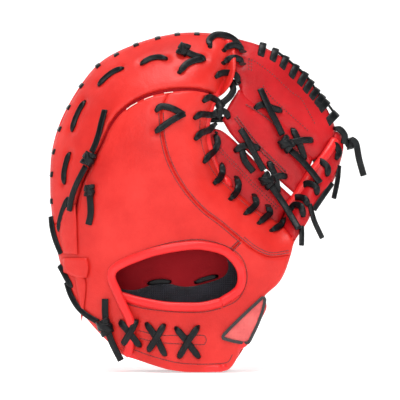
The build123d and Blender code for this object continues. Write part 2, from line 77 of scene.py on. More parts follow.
# ------------------------------------------------------------------ outlines, (x, z)
LEFT_EDGE = [(-141, 140), (-144, 174), (-142, 215), (-128, 254)]
TOP_EDGE = [(-128, 254), (-99, 295), (-62, 315), (-22, 325), (12, 325), (25, 321)]
COLUMN_EDGE = [(25, 321), (33, 312), (34.5, 300), (34, 289), (31, 278), (25, 269), (18, 263)]
INDEX_EDGE = [(18, 263), (12, 251), (8, 239), (6, 227), (8, 213), (13, 200), (20, 188), (31, 177)]
CROTCH_EDGE = [(31, 177), (49, 160), (61, 150), (77, 142)]
THUMB_INNER_EDGE = [(77, 142), (87, 161), (99, 179), (112, 201), (126, 216), (131, 231)]
THUMB_TIP = [(131, 231), (137, 228), (139, 214), (134, 195)]
THUMB_OUTER_EDGE = [(134, 195), (125, 178), (110, 159), (102, 143), (90, 125)]
THUMB_SIDE_EDGE = [(90, 125), (86, 112), (80, 95), (73, 84), (61, 73)]
THUMB_HEEL_EDGE = [(61, 73), (62, 60), (49, 37), (46, 27)]
HEEL_CORNER = [(46, 27), (38, 24), (34, 12), (28, 4), (20, 1)]
BAND_INNER = [(18, 263), (6, 268.5), (-10, 270.5), (-30, 269.5), (-48, 265.5), (-63, 258.5), (-77, 248),
              (-87, 234), (-93, 220), (-104, 198), (-113, 178), (-121, 150)]
BACK_UPPER = [(-120, 149), (-112, 178), (-102.5, 199), (-91.5, 220), (-85, 234), (-75, 247), (-61, 257),
              (-47, 263.5), (-30, 267)]
BACK_SEAM = [(-30, 267), (-37, 247), (-35, 222), (-28, 198), (-14, 174), (3, 155), (20, 142), (39, 126)]
THUMB_SEAM = [(39, 126), (52, 116), (67, 110), (86, 112)]
INDEX_TOP = [(-30, 267), (-10, 268.5), (6, 266.5), (18, 263)]
OPENING_LEFT_TOP = [(-84, 93), (-77, 101), (-46, 113), (-15, 119), (6, 119), (26, 112.5)]
OPENING_RIGHT = [(26, 112.5), (37, 97), (35, 81), (20, 70)]
STRAP_TOP = [(20, 70), (3, 66), (-12, 65.5), (-34, 66.5), (-59, 71), (-80, 76)]
STRAP_BOTTOM = [(-74, 18), (-60, 13), (-46, 8), (-30, 3.5), (-16, 1.2), (0, 0.8), (20, 1)]
FLAP_EDGE = [(-84, 93), (-79, 78), (-72, 62), (-66, 50), (-65.5, 36), (-67, 22), (-73, 17)]
PINKY_HEEL_EDGE = [(-73, 17), (-81, 24), (-94, 36), (-110, 54), (-123, 76), (-132, 97), (-138, 121),
                   (-141, 140)]
PALM_HEEL = [(28, 0.4), (-26, 0.4), (-46, 9), (-70, 19)]


# ------------------------------------------------------------------ surfaces
def reach(x, z):
    height = z - BOWL_CENTRE[1]
    up = np.where(height > 0, height / BOWL_REACH_UP, height / BOWL_REACH_DOWN)
    return np.hypot((x - BOWL_CENTRE[0]) / BOWL_HALF_WIDTH, up)


def smooth_step(value, start, end):
    share = np.clip((value - start) / (end - start), 0, 1)
    return share * share * (3 - 2 * share)


def bowl(x, z):
    return POCKET_Y + POCKET_DEPTH * reach(x, z) ** 3


def palm(x, z):
    return bowl(x, z) + HEEL_SWELL * (1 - smooth_step(z, *HEEL_SWELL_Z))


def line_distance(x, z, line):
    """Distance from each place to a broken line of (x, z) points."""
    x, z = np.asarray(x, float), np.asarray(z, float)
    nearest = np.full(x.shape, 1e9)
    for (x0, z0), (x1, z1) in zip(line, line[1:]):
        dx, dz = x1 - x0, z1 - z0
        share = np.clip(((x - x0) * dx + (z - z0) * dz) / (dx * dx + dz * dz + 1e-9), 0, 1)
        nearest = np.minimum(nearest, np.hypot(x - x0 - share * dx, z - z0 - share * dz))
    return nearest


LACED_LINE = [(31, 320), (24, 282), (9, 236), (18, 192), (49, 160), (77, 142), (99, 179), (131, 231)]


def back(x, z):
    """Outside of the back of the mitt, thinning to the laced edges."""
    fullness = 1 - np.exp(-line_distance(x, z, LACED_LINE) / LACED_TAPER)
    room = HAND_ROOM * np.clip(1 - reach(x, z) ** 4, 0, 1) * fullness
    return bowl(x, z) - EDGE_THICKNESS - room


def strap_face(x, z):
    return back(x, z) + STRAP_SINK * (1 - smooth_step(x, *STRAP_SINK_X))


def flap_face(x, z):
    """The edge of the little-finger flap and the strap beside it."""
    return back(x, z) + STRAP_SINK * (1 - smooth_step(x, *STRAP_SINK_X)) * smooth_step(x, -72, -62)


def web_face(x, z):
    return bowl(x, z) - WEB_FACE_DEPTH


WEB_HOLE = np.array([(31, 330), (31, 309), (24, 282), (9, 236), (18, 192), (49, 160), (77, 142), (99, 179),
                     (131, 231), (131, 330)], float)


def cover(x, z):
    """Whatever faces the back of the hand: the web inside its lacing, the leather outside it."""
    x, z = np.asarray(x, float), np.asarray(z, float)
    web = inside_ring(x, z, WEB_HOLE)
    return np.where(web, web_face(x, z) - 0.5, back(x, z) + 0.5)


def shifted(surface, by):
    """The same surface moved along y."""
    return lambda x, z: surface(x, z) + by


def unit(vectors, guard=0.0):
    return vectors / (np.linalg.norm(vectors, axis=-1, keepdims=True) + guard)


def normals_of(surface, x, z, out=-1.0):
    """Unit normals of a surface, towards -Y for out = -1."""
    step = 0.5
    slope_x = (surface(x + step, z) - surface(x - step, z)) / (2 * step)
    slope_z = (surface(x, z + step) - surface(x, z - step)) / (2 * step)
    return unit(np.stack((slope_x, -np.ones_like(slope_x), slope_z), -1) * (-out))


# ------------------------------------------------------------------ lace routes, (x, z, lift)
COLUMN_LACES = [
    [(10, 311.5, -2), (9, 318.5, 2), (15, 323.5, 3), (25, 323, 4), (33, 319, 3), (38, 313.5, 0)],
    [(23, 308.5, -2), (27, 312.3, 2.5), (33, 313.8, 4), (38.5, 312, 2.5), (41.5, 307.5, -2)],
    [(22.5, 296, -2), (27, 299.8, 2.5), (33, 301.2, 4), (38.5, 299.5, 2.5), (41, 295, -2)],
    [(14.5, 281.5, -2), (20, 285.8, 2.5), (28, 286.5, 4), (34.5, 284, 3), (37.5, 277, -1)],
    [(30, 277, 1), (32, 270, 2), (28, 263, 2), (21, 257, 1.5)],
    [(2.5, 258, -2), (9, 262.5, 2.5), (16, 259.5, 3), (22, 253, 2)],
    [(-6, 241.5, -2), (1, 246, 2.5), (11, 246, 3), (19, 250, 3.5), (25, 248, 2.5), (28, 242, -1)],
    [(17, 257, 2), (19.5, 250, 4.5), (17, 243, 2)],
    [(-5, 221.5, -2), (1, 228, 2.5), (8, 231, 3), (14, 236.5, -1)],
    [(3.5, 199.5, -2), (8, 206, 2.5), (13, 211, 3.5), (17, 219, 3), (15, 227, -1)],
    [(13, 179.5, -2), (18.5, 184.5, 2.5), (21.5, 191, 2.5), (21, 199, -2)],
]
CROTCH_LACES = [
    [(29, 165, -2), (35, 172, 3), (37, 178.5, 3), (35, 186, -2)],
    [(43, 151, -2), (50, 156, 3), (54, 161.5, 3), (52, 169, -2)],
    [(56, 142, -2), (62, 147, 3), (67, 152, 3), (65, 159, -2)],
    [(68, 135, -2), (74, 138, 3), (79, 141.5, 3), (81, 147, -2)],
]
DASH_LACES = [
    [(-57, 295, -1.5), (-48, 300, 0.9), (-40, 301.5, 0.9), (-31.5, 300, -1.5)],
    [(-98, 275, -1.5), (-90, 283, 0.9), (-83, 288, 0.9), (-74, 291.5, -1.5)],
    [(-123.5, 231, -1.5), (-120, 242, 0.9), (-116, 251, 0.9), (-111, 259.5, -1.5)],
    [(-130.5, 180, -1.5), (-130.5, 190, 0.9), (-128.5, 200, 0.9), (-125.5, 209.5, -1.5)],
]
TOP_LACE = [
    [(5, 300, -1.5), (-5, 302.5, 2), (-12, 305.5, 4), (-17, 309, 5)],
    [(4, 299.5, -1.5), (-6, 297.5, 2), (-13, 294, 2.2), (-20, 286, -1.5)],
]
SEAM_LACE = [
    [(-42.5, 248.5, -1.5), (-37, 253, 1.6), (-30, 252.3, 2), (-23, 249.5, 2), (-15.5, 245.2, 1)],
    [(-15, 246.5, 1), (-22, 242.5, 3.6), (-29, 238.3, 2.6), (-42, 229, -1.5)],
]
STRAP_CROSSES = [
    [(-51, 47, -1.5), (-42, 34.5, 2), (-33, 17, -1.5)],
    [(-34, 46, -1.5), (-41, 34, 3.6), (-49, 21, -1.5)],
    [(-23, 43, -1.5), (-13, 31, 2), (-1, 15, -1.5)],
    [(-2, 44, -1.5), (-11, 31, 3.6), (-20, 15, -1.5)],
]
FLAP_CROSS = [
    [(-76, 49, -1), (-67.5, 38.5, 6.2), (-57, 25.5, -1)],
    [(-60, 50, -1), (-66.5, 39, 8.0), (-73, 27, -1)],
]
WEB_TIES = [
    [(89, 233, -1), (95, 220, 4), (101, 203, -1)],
    [(109, 222, -1), (98, 221.5, 5.5), (85, 219, 2)],
    [(66, 201, -1), (72, 187, 4), (75, 171, -1)],
    [(84, 187, -1), (75, 187, 5.5), (63, 183, 2)],
    [(52, 252, -1), (60, 256, 3), (70, 252.5, 3), (79, 250, -1)],
    [(33, 211, -1), (41, 216, 3), (50, 216, 3), (58, 213, -1)],
    [(40, 214, 1), (43, 202, 2.4), (51, 191.5, 1)],
]
THUMB_LACES = [
    [(130, 234, -1), (136, 232, 3), (140, 226, 4), (139, 219, 1)],
    [(126, 217, -2), (131, 217, 2.5), (134, 211, 3), (131.5, 203, -2)],
    [(111, 201.5, -2), (117, 201, 2.5), (122.5, 195.5, 3.5), (122.5, 187, -2)],
    [(97, 177.5, -2), (104, 180, 2.5), (111, 177, 3.5), (112.5, 169, -2)],
    [(87, 161, -2), (92, 166.5, 2.5), (100, 165.5, 3.5), (104, 158.5, -2)],
    [(86, 153.5, -2), (91, 159.5, 2.5), (97, 157.5, 3.5), (99, 148, -2)],
]
LACE_TAILS = [
    [(134, 197, 1), (132, 183, 4), (128, 166, 5)],
    [(127, 180, 1), (118, 168, 3), (109, 155, 3)],
    [(105, 160, 1), (109, 144, 5), (116, 128, 7)],
    [(97, 139, 2), (97, 131, 4), (96.5, 121, 5)],
]
LEFT_LACES = [
    [(-126, 167, -1), (-131, 155, 2), (-134, 145, 2), (-135.5, 134, -1)],
    [(-143.5, 148, 0), (-142, 137, 1.6), (-138.5, 125, 1.8), (-133.5, 113, 1)],
    [(-135, 101, 0), (-130.5, 94, 1.6), (-126, 86, 1.6), (-122, 80, -1)],
    [(-128, 85, 0), (-124, 74, 1.6), (-117.5, 63, 2), (-109, 55, 2.4), (-97, 48, 1)],
]


def route_ends(*groups):
    return [route[i][:2] for group in groups for route in group for i in (0, -1) if route[i][2] < 0]


DIMPLES = [(x, z, 4.6, 1.7)
           for x, z in route_ends(COLUMN_LACES, CROTCH_LACES, TOP_LACE, SEAM_LACE, THUMB_LACES)]
DIMPLES += [(x, z, 3.4, 1.3) for x, z in route_ends(DASH_LACES, STRAP_CROSSES, FLAP_CROSS, WEB_TIES)]
GROOVES = [([point[:2] for point in route], 4.2, 1.5) for route in DASH_LACES]


def noise_at(u, v, seed):
    return np.array([noise.noise(Vector((a, b, seed))) for a, b in zip(u, v)])


def relief(x, z):
    """Dimples round the lace holes, grooves under tight laces and a slow hand-made waviness."""
    sink = np.zeros_like(x)
    for hole_x, hole_z, radius, depth in DIMPLES:
        sink += depth * np.exp(-((x - hole_x) ** 2 + (z - hole_z) ** 2) / radius ** 2)
    for line, width, depth in GROOVES:
        sink += depth * np.exp(-(line_distance(x, z, line) / width) ** 2)
    wave = noise_at(x * 0.028, z * 0.022, 4.1)
    fine = noise_at(x * 0.09, z * 0.07, 8.3)
    fold = noise_at(x * 0.05 + z * 0.02, z * 0.11 - x * 0.03, 2.7)
    creases = np.maximum(0, 1 - np.abs(fold) / 0.08)
    return sink + 1.0 * wave + 0.25 * fine + 0.22 * creases


# ------------------------------------------------------------------ materials
def node_material(name):
    material = bpy.data.materials.new(name)
    material.use_nodes = True
    tree = material.node_tree
    shader = tree.nodes["Principled BSDF"]
    place = tree.nodes.new("ShaderNodeTexCoord")
    return material, tree, shader, place


def set_inputs(node, **values):
    for name, value in values.items():
        node.inputs[name.replace("_", " ")].default_value = value


def noise_texture(tree, place, scale, detail=4.0, rough=0.55):
    texture = tree.nodes.new("ShaderNodeTexNoise")
    set_inputs(texture, Scale=scale, Detail=detail, Roughness=rough)
    tree.links.new(place.outputs["Object"], texture.inputs["Vector"])
    return texture


def base_colour(tree, shader, texture, stops):
    """Colours the surface by a texture's value, from (value, colour) stops."""
    ramp = tree.nodes.new("ShaderNodeValToRGB")
    for i in (0, -1):
        ramp.color_ramp.elements[i].position = stops[i][0]
        ramp.color_ramp.elements[i].color = (*stops[i][1], 1)
    for position, colour in stops[1:-1]:
        ramp.color_ramp.elements.new(position).color = (*colour, 1)
    tree.links.new(texture.outputs["Fac"], ramp.inputs["Fac"])
    tree.links.new(ramp.outputs["Color"], shader.inputs["Base Color"])


def bump_chain(tree, shader, layers):
    """Bump nodes one on another, each (height socket, distance in metres, strength)."""
    below = None
    for height, distance, strength in layers:
        bump = tree.nodes.new("ShaderNodeBump")
        set_inputs(bump, Distance=distance, Strength=strength)
        tree.links.new(height, bump.inputs["Height"])
        if below is not None:
            tree.links.new(below.outputs["Normal"], bump.inputs["Normal"])
        below = bump
    tree.links.new(below.outputs["Normal"], shader.inputs["Normal"])


def leather(name, dark, body, light, roughness=0.42, grain=1.0, coat=0.05, gloss=0.26):
    """Dyed leather: pebbled grain, slow colour drift and a light wax finish."""
    material, tree, shader, place = node_material(name)
    drift = noise_texture(tree, place, 22.0, 5.0)
    base_colour(tree, shader, drift, [(0.28, dark), (0.5, body), (0.74, light)])
    set_inputs(shader, Roughness=roughness, Specular_IOR_Level=gloss, Coat_Weight=coat, Coat_Roughness=0.3)
    pebbles = tree.nodes.new("ShaderNodeTexVoronoi")
    set_inputs(pebbles, Scale=620.0)
    tree.links.new(place.outputs["Object"], pebbles.inputs["Vector"])
    pores = noise_texture(tree, place, 1500.0, 3.0)
    creases = noise_texture(tree, place, 130.0, 6.0, 0.62)
    bump_chain(tree, shader, [
        (creases.outputs["Fac"], 0.0006, 0.35 * grain),
        (pebbles.outputs["Distance"], 0.00022, 0.45 * grain),
        (pores.outputs["Fac"], 0.0001, 0.3 * grain),
    ])
    return material


def rawhide(name):
    """Waxed black lace: fibrous along its length, greyish where it is rubbed."""
    material, tree, shader, place = node_material(name)
    rub = noise_texture(tree, place, 85.0, 6.0, 0.6)
    base_colour(tree, shader, rub, [
        (0.3, (0.001, 0.001, 0.002)), (0.52, (0.003, 0.004, 0.005)), (0.75, (0.014, 0.016, 0.017)),
    ])
    set_inputs(shader, Roughness=0.34, Specular_IOR_Level=0.22)
    fibres = noise_texture(tree, place, 420.0, 5.0, 0.7)
    bump_chain(tree, shader, [(rub.outputs["Fac"], 0.0005, 0.4), (fibres.outputs["Fac"], 0.0003, 0.5)])
    return material


def woven(name, dark, light, scale=900.0, roughness=0.85):
    """Cloth: two crossed sets of threads."""
    material, tree, shader, place = node_material(name)
    base_colour(tree, shader, noise_texture(tree, place, 60.0), [(0.3, dark), (0.7, light)])
    set_inputs(shader, Roughness=roughness, Sheen_Weight=0.25)
    layers = []
    for direction in ("X", "Z"):
        threads = tree.nodes.new("ShaderNodeTexWave")
        threads.bands_direction = direction
        set_inputs(threads, Scale=scale / 6.0, Distortion=0.6)
        tree.links.new(place.outputs["Object"], threads.inputs["Vector"])
        layers.append((threads.outputs["Fac"], 0.0003, 0.5))
    bump_chain(tree, shader, layers)
    return material


SHELL = leather("shell_leather", (0.53, 0.012, 0.009), (0.63, 0.020, 0.015), (0.72, 0.034, 0.026))
# Deeper red web leather, darkened further as painted shade for the recessed web; the thumb's outer panel
# shares it.
WEB_LEATHER_AND_SHADE = leather("web_leather_and_painted_shade", (0.36, 0.003, 0.006), (0.47, 0.005, 0.009), (0.58, 0.010, 0.014))
# Rolled binding leather, coloured lighter than the shell leather as painted light, to brighten the rolls
# where they sit in shade.
ROLL_PAINTED_LIGHTER = leather("rolled_leather_painted_lighter", (0.62, 0.013, 0.015), (0.74, 0.020, 0.021), (0.80, 0.032, 0.031), 0.32, 0.5)
PALM = leather("palm_leather", (0.48, 0.011, 0.010), (0.59, 0.018, 0.015), (0.68, 0.031, 0.024), 0.46)
LINING = leather("lining_leather", (0.26, 0.004, 0.008), (0.34, 0.006, 0.012), (0.40, 0.010, 0.016), 0.6, 0.8,
                 0.0, 0.1)
# Pale colour for the thin slivers in the groove under the finger band.
PALE_SLIVER = leather("pale_sliver", (0.70, 0.42, 0.36), (0.85, 0.62, 0.55), (0.9, 0.74, 0.68), 0.7, 0.6, 0.0)
LACE = rawhide("lace_rawhide")
# Near-black painted shadow for the lace holes.
PAINTED_HOLE_SHADE = leather("hole_shadow", (0.015, 0.002, 0.002), (0.03, 0.004, 0.004), (0.05, 0.006, 0.006), 0.8, 0.3,
               0.0)
THREAD = woven("stitch_thread", (0.14, 0.004, 0.006), (0.28, 0.010, 0.012), 3000.0, 0.7)
# Near-black pad cloth, made darker still as painted shade for the liner that fills the shaded right end of
# the wrist window.
PAD_CLOTH_AND_SHADE = woven("pad_cloth", (0.004, 0.005, 0.009), (0.020, 0.022, 0.034), 900.0)
PATCH = woven("patch_twill", (0.62, 0.07, 0.07), (0.78, 0.12, 0.11), 1400.0, 0.45)
PATCH_RIM = woven("patch_border", (0.012, 0.010, 0.011), (0.03, 0.026, 0.027), 2400.0, 0.6)
FELT = woven("felt", (0.40, 0.37, 0.32), (0.55, 0.52, 0.46), 700.0)


# ------------------------------------------------------------------ mesh building
def spline(points, step):
    """Catmull-Rom curve through points, sampled about every step."""
    points = np.asarray(points, float)
    if len(points) == 2:
        count = max(1, int(np.linalg.norm(points[1] - points[0]) / step + 0.5))
        share = np.linspace(0, 1, count + 1)[:, None]
        return points[0] * (1 - share) + points[1] * share
    ends = [2 * points[0] - points[1], *points, 2 * points[-1] - points[-2]]
    made = []
    for i in range(1, len(ends) - 2):
        p0, p1, p2, p3 = ends[i - 1:i + 3]
        count = max(1, int(np.linalg.norm((p2 - p1)[:3]) / step + 0.5))
        t = np.linspace(0, 1, count, endpoint=False)[:, None]
        made.append(0.5 * (2 * p1 + (p2 - p0) * t + (2 * p0 - 5 * p1 + 4 * p2 - p3) * t ** 2
                           + (3 * p1 - p0 - 3 * p2 + p3) * t ** 3))
    made.append(points[-1][None])
    return np.concatenate(made)


def run_along(path):
    """How far along its line each place is."""
    return np.concatenate(([0], np.cumsum(np.linalg.norm(np.diff(path, axis=0), axis=1))))


def ring_of(pieces, step):
    """A closed outline from splines that meet at corners."""
    made = []
    for piece in pieces:
        part = spline(piece, step)
        if made and np.linalg.norm(made[-1][-1] - part[0]) < 0.5 * step:
            part = part[1:]
        made.append(part)
    ring = np.concatenate(made)
    if np.linalg.norm(ring[0] - ring[-1]) < 0.5 * step:
        ring = ring[:-1]
    return ring


def outline(*pieces):
    """Corners and curves of a closed outline: each piece starts where the one before ends."""
    made = [list(pieces[0])]
    for piece in pieces[1:]:
        made.append([made[-1][-1], *piece])
    made[-1].append(pieces[0][0])
    return made


def inside_ring(x, z, ring):
    inside = np.zeros(x.shape, bool)
    for (x0, z0), (x1, z1) in zip(ring, np.roll(ring, -1, 0)):
        crosses = (z0 > z) != (z1 > z)
        with np.errstate(divide="ignore", invalid="ignore"):
            at = (x1 - x0) * (z - z0) / (z1 - z0) + x0
        inside ^= crosses & (x < at)
    return inside


def fold_blend(obj):
    """Bakes the piece's placement into its mesh."""
    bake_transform(obj)


def strap_blend(obj):
    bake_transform(obj)


def linked(name, data):
    obj = bpy.data.objects.new(name, data)
    bpy.context.scene.collection.objects.link(obj)
    return obj


def add_piece(name, points, faces, material, moves, replaced=()):
    """Makes one object from points in millimetres; fold and strap pieces are only baked in place, the rest
    are tied to their body.
    """
    mesh = bpy.data.meshes.new(name)
    mesh.from_pydata(((np.asarray(points) - BODY_CENTRE) / 1000).tolist(), [], faces)
    mesh.polygons.foreach_set("use_smooth", [True] * len(mesh.polygons))
    mesh.update()
    obj = linked(name, mesh)
    mesh.materials.append(material)
    if moves == "fold":
        fold_blend(obj)
    elif moves == "strap":
        strap_blend(obj)
    else:
        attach(obj, moves)
    if replaced:
        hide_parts(*replaced)
    return obj


def flat_mesh(pieces, step):
    """Evenly triangulated outline: places, triangles and each place's distance to the edge."""
    ring = ring_of(pieces, step)
    low, high = ring.min(0), ring.max(0)
    rows = np.arange(low[1], high[1], step * 0.87)
    grid = []
    for i, z in enumerate(rows):
        xs = np.arange(low[0] + (i % 2) * step / 2, high[0], step)
        grid.append(np.stack((xs, np.full_like(xs, z)), -1))
    grid = np.concatenate(grid)
    closed = np.vstack((ring, ring[:1]))
    far = line_distance(grid[:, 0], grid[:, 1], closed) > 0.6 * step
    grid = grid[far & inside_ring(grid[:, 0], grid[:, 1], ring)]
    places = [Vector(p) for p in np.concatenate((ring, grid)).tolist()]
    result = delaunay_2d_cdt(places, [], [list(range(len(ring)))], 1, 1e-4)
    flat = np.array([tuple(v) for v in result[0]])
    faces = [list(face) for face in result[2]]
    return flat, faces, line_distance(flat[:, 0], flat[:, 1], closed)


def border_edges(faces):
    count = {}
    for face in faces:
        for a, b in zip(face, face[1:] + face[:1]):
            count[(a, b)] = True
    return [(a, b) for a, b in count if (b, a) not in count]


def edge_drop(distance, radius, depth):
    """How far a rounded edge falls away at a distance from the edge."""
    share = np.clip(1 - distance / radius, 0, 1)
    return depth * (1 - np.sqrt(1 - 0.999 * share ** 2))


def panel(name, pieces, surface, material, moves, replaced=(), thick=LEATHER, edge=1.3,
          rolls=(), out=-1.0, shaped=relief, step=MESH_STEP, puff=0.0, seamless=None):
    """A piece of leather cut to an outline, shaped to a surface, with rounded edges.
    rolls are (line, radius, depth) where an edge turns further in; puff pads the middle; seamless is
    a stretch of the outline where the leather runs on into the next mesh."""
    flat, faces, distance = flat_mesh(pieces, step)
    x, z = flat[:, 0], flat[:, 1]
    runs_on = np.zeros(len(flat), bool)
    if seamless is not None:
        runs_on = line_distance(x, z, seamless) < 0.05
        ring = ring_of(pieces, step)
        ring = np.vstack((ring, ring[:1]))
        inner = line_distance(ring[:, 0], ring[:, 1], seamless) < 0.05
        edges = [(a, b) for a, b, i, j in zip(ring, ring[1:], inner, inner[1:]) if not (i and j)]
        distance = np.min([line_distance(x, z, edge) for edge in edges], axis=0)
    face_y = surface(x, z)
    drop = edge_drop(distance, edge, min(edge, thick / 2))
    sink = shaped(x, z)
    for line, radius, depth in rolls:
        sink = sink + edge_drop(line_distance(x, z, spline(line, 3.0)), radius, depth)
    sink = sink - puff * (1 - np.exp(-distance / 7.0))
    front = np.stack((x, face_y - out * (sink + drop), z), -1)
    rear = np.stack((x, face_y - out * (sink + thick - drop), z), -1)
    total = len(flat)
    if out > 0:
        faces = [face[::-1] for face in faces]
    all_faces = faces + [[v + total for v in face[::-1]] for face in faces]
    for a, b in border_edges(faces):
        if not (runs_on[a] and runs_on[b]):
            all_faces.append([b, a, a + total, b + total])
    return add_piece(name, np.concatenate((front, rear)), all_faces, material, moves, replaced)


def double_sheet(outer, inner):
    """A closed sheet between two grids of points, each rows deep along a line."""
    count, rows = outer.shape[:2]
    total = count * rows
    faces = []
    for i in range(count - 1):
        for j in range(rows - 1):
            a, b = i * rows + j, (i + 1) * rows + j
            faces.append([a, b, b + 1, a + 1])
            faces.append([v + total for v in (a + 1, b + 1, b, a)])
        for j in (0, rows - 1):
            a, b = i * rows + j, (i + 1) * rows + j
            edge = [a, b, b + total, a + total]
            faces.append(edge if j else edge[::-1])
    for i in (0, count - 1):
        for a in range(i * rows, (i + 1) * rows - 1):
            edge = [a, a + 1, a + 1 + total, a + total]
            faces.append(edge[::-1] if i else edge)
    return np.concatenate((outer.reshape(-1, 3), inner.reshape(-1, 3))), faces


def wall(name, line, near, far, moves, replaced):
    """Leather that stands along a line and closes the gap from near to far, two surfaces of y."""
    thick, inset, bulge, rows = 2.4, 1.4, 1.6, 9
    path = spline(line, MESH_STEP)
    tangent = unit(np.gradient(path, axis=0))
    outward = np.stack((tangent[:, 1], -tangent[:, 0]), -1)
    middle = np.array(BOWL_CENTRE)
    outward *= np.sign(np.sum(outward * (path - middle), axis=1, keepdims=True))
    share = np.linspace(0, 1, rows)
    start = near(path[:, 0], path[:, 1])
    end = far(path[:, 0], path[:, 1])
    depth = start[:, None] + (end - start)[:, None] * share
    swell = bulge * np.sin(math.pi * share) * np.clip((end - start) / 12.0, 0.1, 1.0)[:, None]
    wave = np.array([[noise.noise(Vector((x * 0.06, y * 0.09, z * 0.06))) for y in row]
                     for (x, z), row in zip(path, depth)])
    layers = []
    for shift in (0.0, -thick):
        out = swell - inset + 0.7 * wave * np.sin(math.pi * share) + shift
        layers.append(np.stack((path[:, :1] + outward[:, :1] * out, depth,
                                path[:, 1:] + outward[:, 1:] * out), -1))
    return add_piece(name, *double_sheet(*layers), SHELL, moves, replaced)


def section_points(width, thick, count=14):
    """A flat lace cut across: a rectangle with soft corners."""
    made = []
    for i in range(count):
        angle = 2 * math.pi * (i + 0.5) / count
        c, s = math.cos(angle), math.sin(angle)
        made.append((width / 2 * math.copysign(abs(c) ** 0.45, c),
                     thick / 2 * math.copysign(abs(s) ** 0.7, s)))
    return np.array(made)


def round_section(radius, count, squash=1.0):
    angles = [2 * math.pi * i / count for i in range(count)]
    return np.array([(radius * math.cos(a), radius * squash * math.sin(a)) for a in angles])


def ring_faces(rings, around, closed=False):
    """The faces between rings of points that follow one on another."""
    faces = []
    for i in range(rings if closed else rings - 1):
        a, b = i * around, (i + 1) % rings * around
        for j in range(around):
            k = (j + 1) % around
            faces.append([a + j, a + k, b + k, b + j])
    return faces


def sweep(points, ups, section, closed=False, widths=None):
    """Carries a cross-section along points, its second axis kept towards ups."""
    count, across = len(points), len(section)
    if closed:
        tangent = np.roll(points, -1, 0) - np.roll(points, 1, 0)
    else:
        tangent = np.gradient(points, axis=0)
    tangent = unit(tangent, 1e-12)
    up = unit(ups - tangent * np.sum(ups * tangent, axis=1, keepdims=True), 1e-12)
    side = np.cross(tangent, up)
    widths = np.ones(count) if widths is None else widths
    if not closed:
        lead = 0.35
        first = points[:1] - tangent[:1] * lead
        last = points[-1:] + tangent[-1:] * lead
        points = np.concatenate((first, points, last))
        side = np.concatenate((side[:1], side, side[-1:]))
        up = np.concatenate((up[:1], up, up[-1:]))
        widths = np.concatenate((widths[:1], widths, widths[-1:]))
        scale = np.ones(len(points))
        scale[0] = scale[-1] = 0.82
    else:
        scale = np.ones(count)
    total = len(points)
    verts = (points[:, None] + side[:, None] * section[None, :, :1] * (scale * widths)[:, None, None]
             + up[:, None] * section[None, :, 1:] * scale[:, None, None]).reshape(-1, 3)
    faces = ring_faces(total, across, closed)
    if not closed:
        faces.append(list(range(across))[::-1])
        faces.append([(total - 1) * across + j for j in range(across)])
    return verts, faces


def joined(parts):
    verts, faces, base = [], [], 0
    for part_verts, part_faces in parts:
        verts.append(part_verts)
        faces += [[v + base for v in face] for face in part_faces]
        base += len(part_verts)
    return np.concatenate(verts), faces


def with_hole_bends(route):
    """Adds the sharp bend where a lace turns down into its hole, at an end with a lift under zero."""
    route = [tuple(float(v) for v in point) for point in route]
    made = []
    for end, beside in ((route[0], route[1]), (route[-1], route[-2])):
        if end[2] < 0:
            run = math.hypot(beside[0] - end[0], beside[1] - end[1])
            share = min(0.5, HOLE_BEND / run)
            made.append([(end[0] + (beside[0] - end[0]) * share, end[1] + (beside[1] - end[1]) * share,
                          0.35 + 0.45 * max(beside[2], 0.5))])
        else:
            made.append([])
    return [route[0], *made[0], *route[1:-1], *made[1], route[-1]]


def lifted(surface, route, out=-1.0):
    """Route points (x, z, lift) as places over a surface, with the way that the lace faces there.
    An end with a lift under zero goes down into its hole."""
    if len(route) > 1:
        route = with_hole_bends(route)
    route = np.asarray(route, float)
    x, z = route[:, 0], route[:, 1]
    straight = np.array((0.0, out, 0.0))
    up = unit(normals_of(surface, x, z, out) + 1.4 * straight)
    lift = np.where(route[:, 2:3] < 0, HOLE_DEPTH, route[:, 2:3])
    places = np.stack((x, surface(x, z), z), -1) + 0.6 * straight * lift + 0.4 * up * lift
    return places, up


def lace_strip(places, ups, width=LACE_WIDTH, thick=LACE_THICK, step=1.2, narrow=(False, False)):
    """A flat lace along places, squeezed narrower where an end goes through a hole."""
    both = spline(np.concatenate((places, ups * 10), 1), step)
    line = both[:, :3]
    run = run_along(line)
    wide = np.ones(len(line))
    if narrow[0]:
        wide *= 0.62 + 0.38 * smooth_step(run, *HOLE_SQUEEZE)
    if narrow[1]:
        wide *= 0.62 + 0.38 * smooth_step(run[-1] - run, *HOLE_SQUEEZE)
    return sweep(line, both[:, 3:], section_points(width, thick), widths=wide)


def lace_piece(name, parts, moves, replaced=None):
    """A lace that takes the place of the CAD node of its own name, or of the nodes in replaced."""
    return add_piece(name, *joined(parts), LACE, moves, [name] if replaced is None else replaced)


def laces(name, routes, surface, moves, replaced=None, width=LACE_WIDTH, extra=()):
    """One lace row: every route as a flat strip."""
    parts = [lace_strip(*lifted(surface, route), width=width, narrow=(route[0][2] < 0, route[-1][2] < 0))
             for route in routes]
    return lace_piece(name, parts + list(extra), moves, replaced)


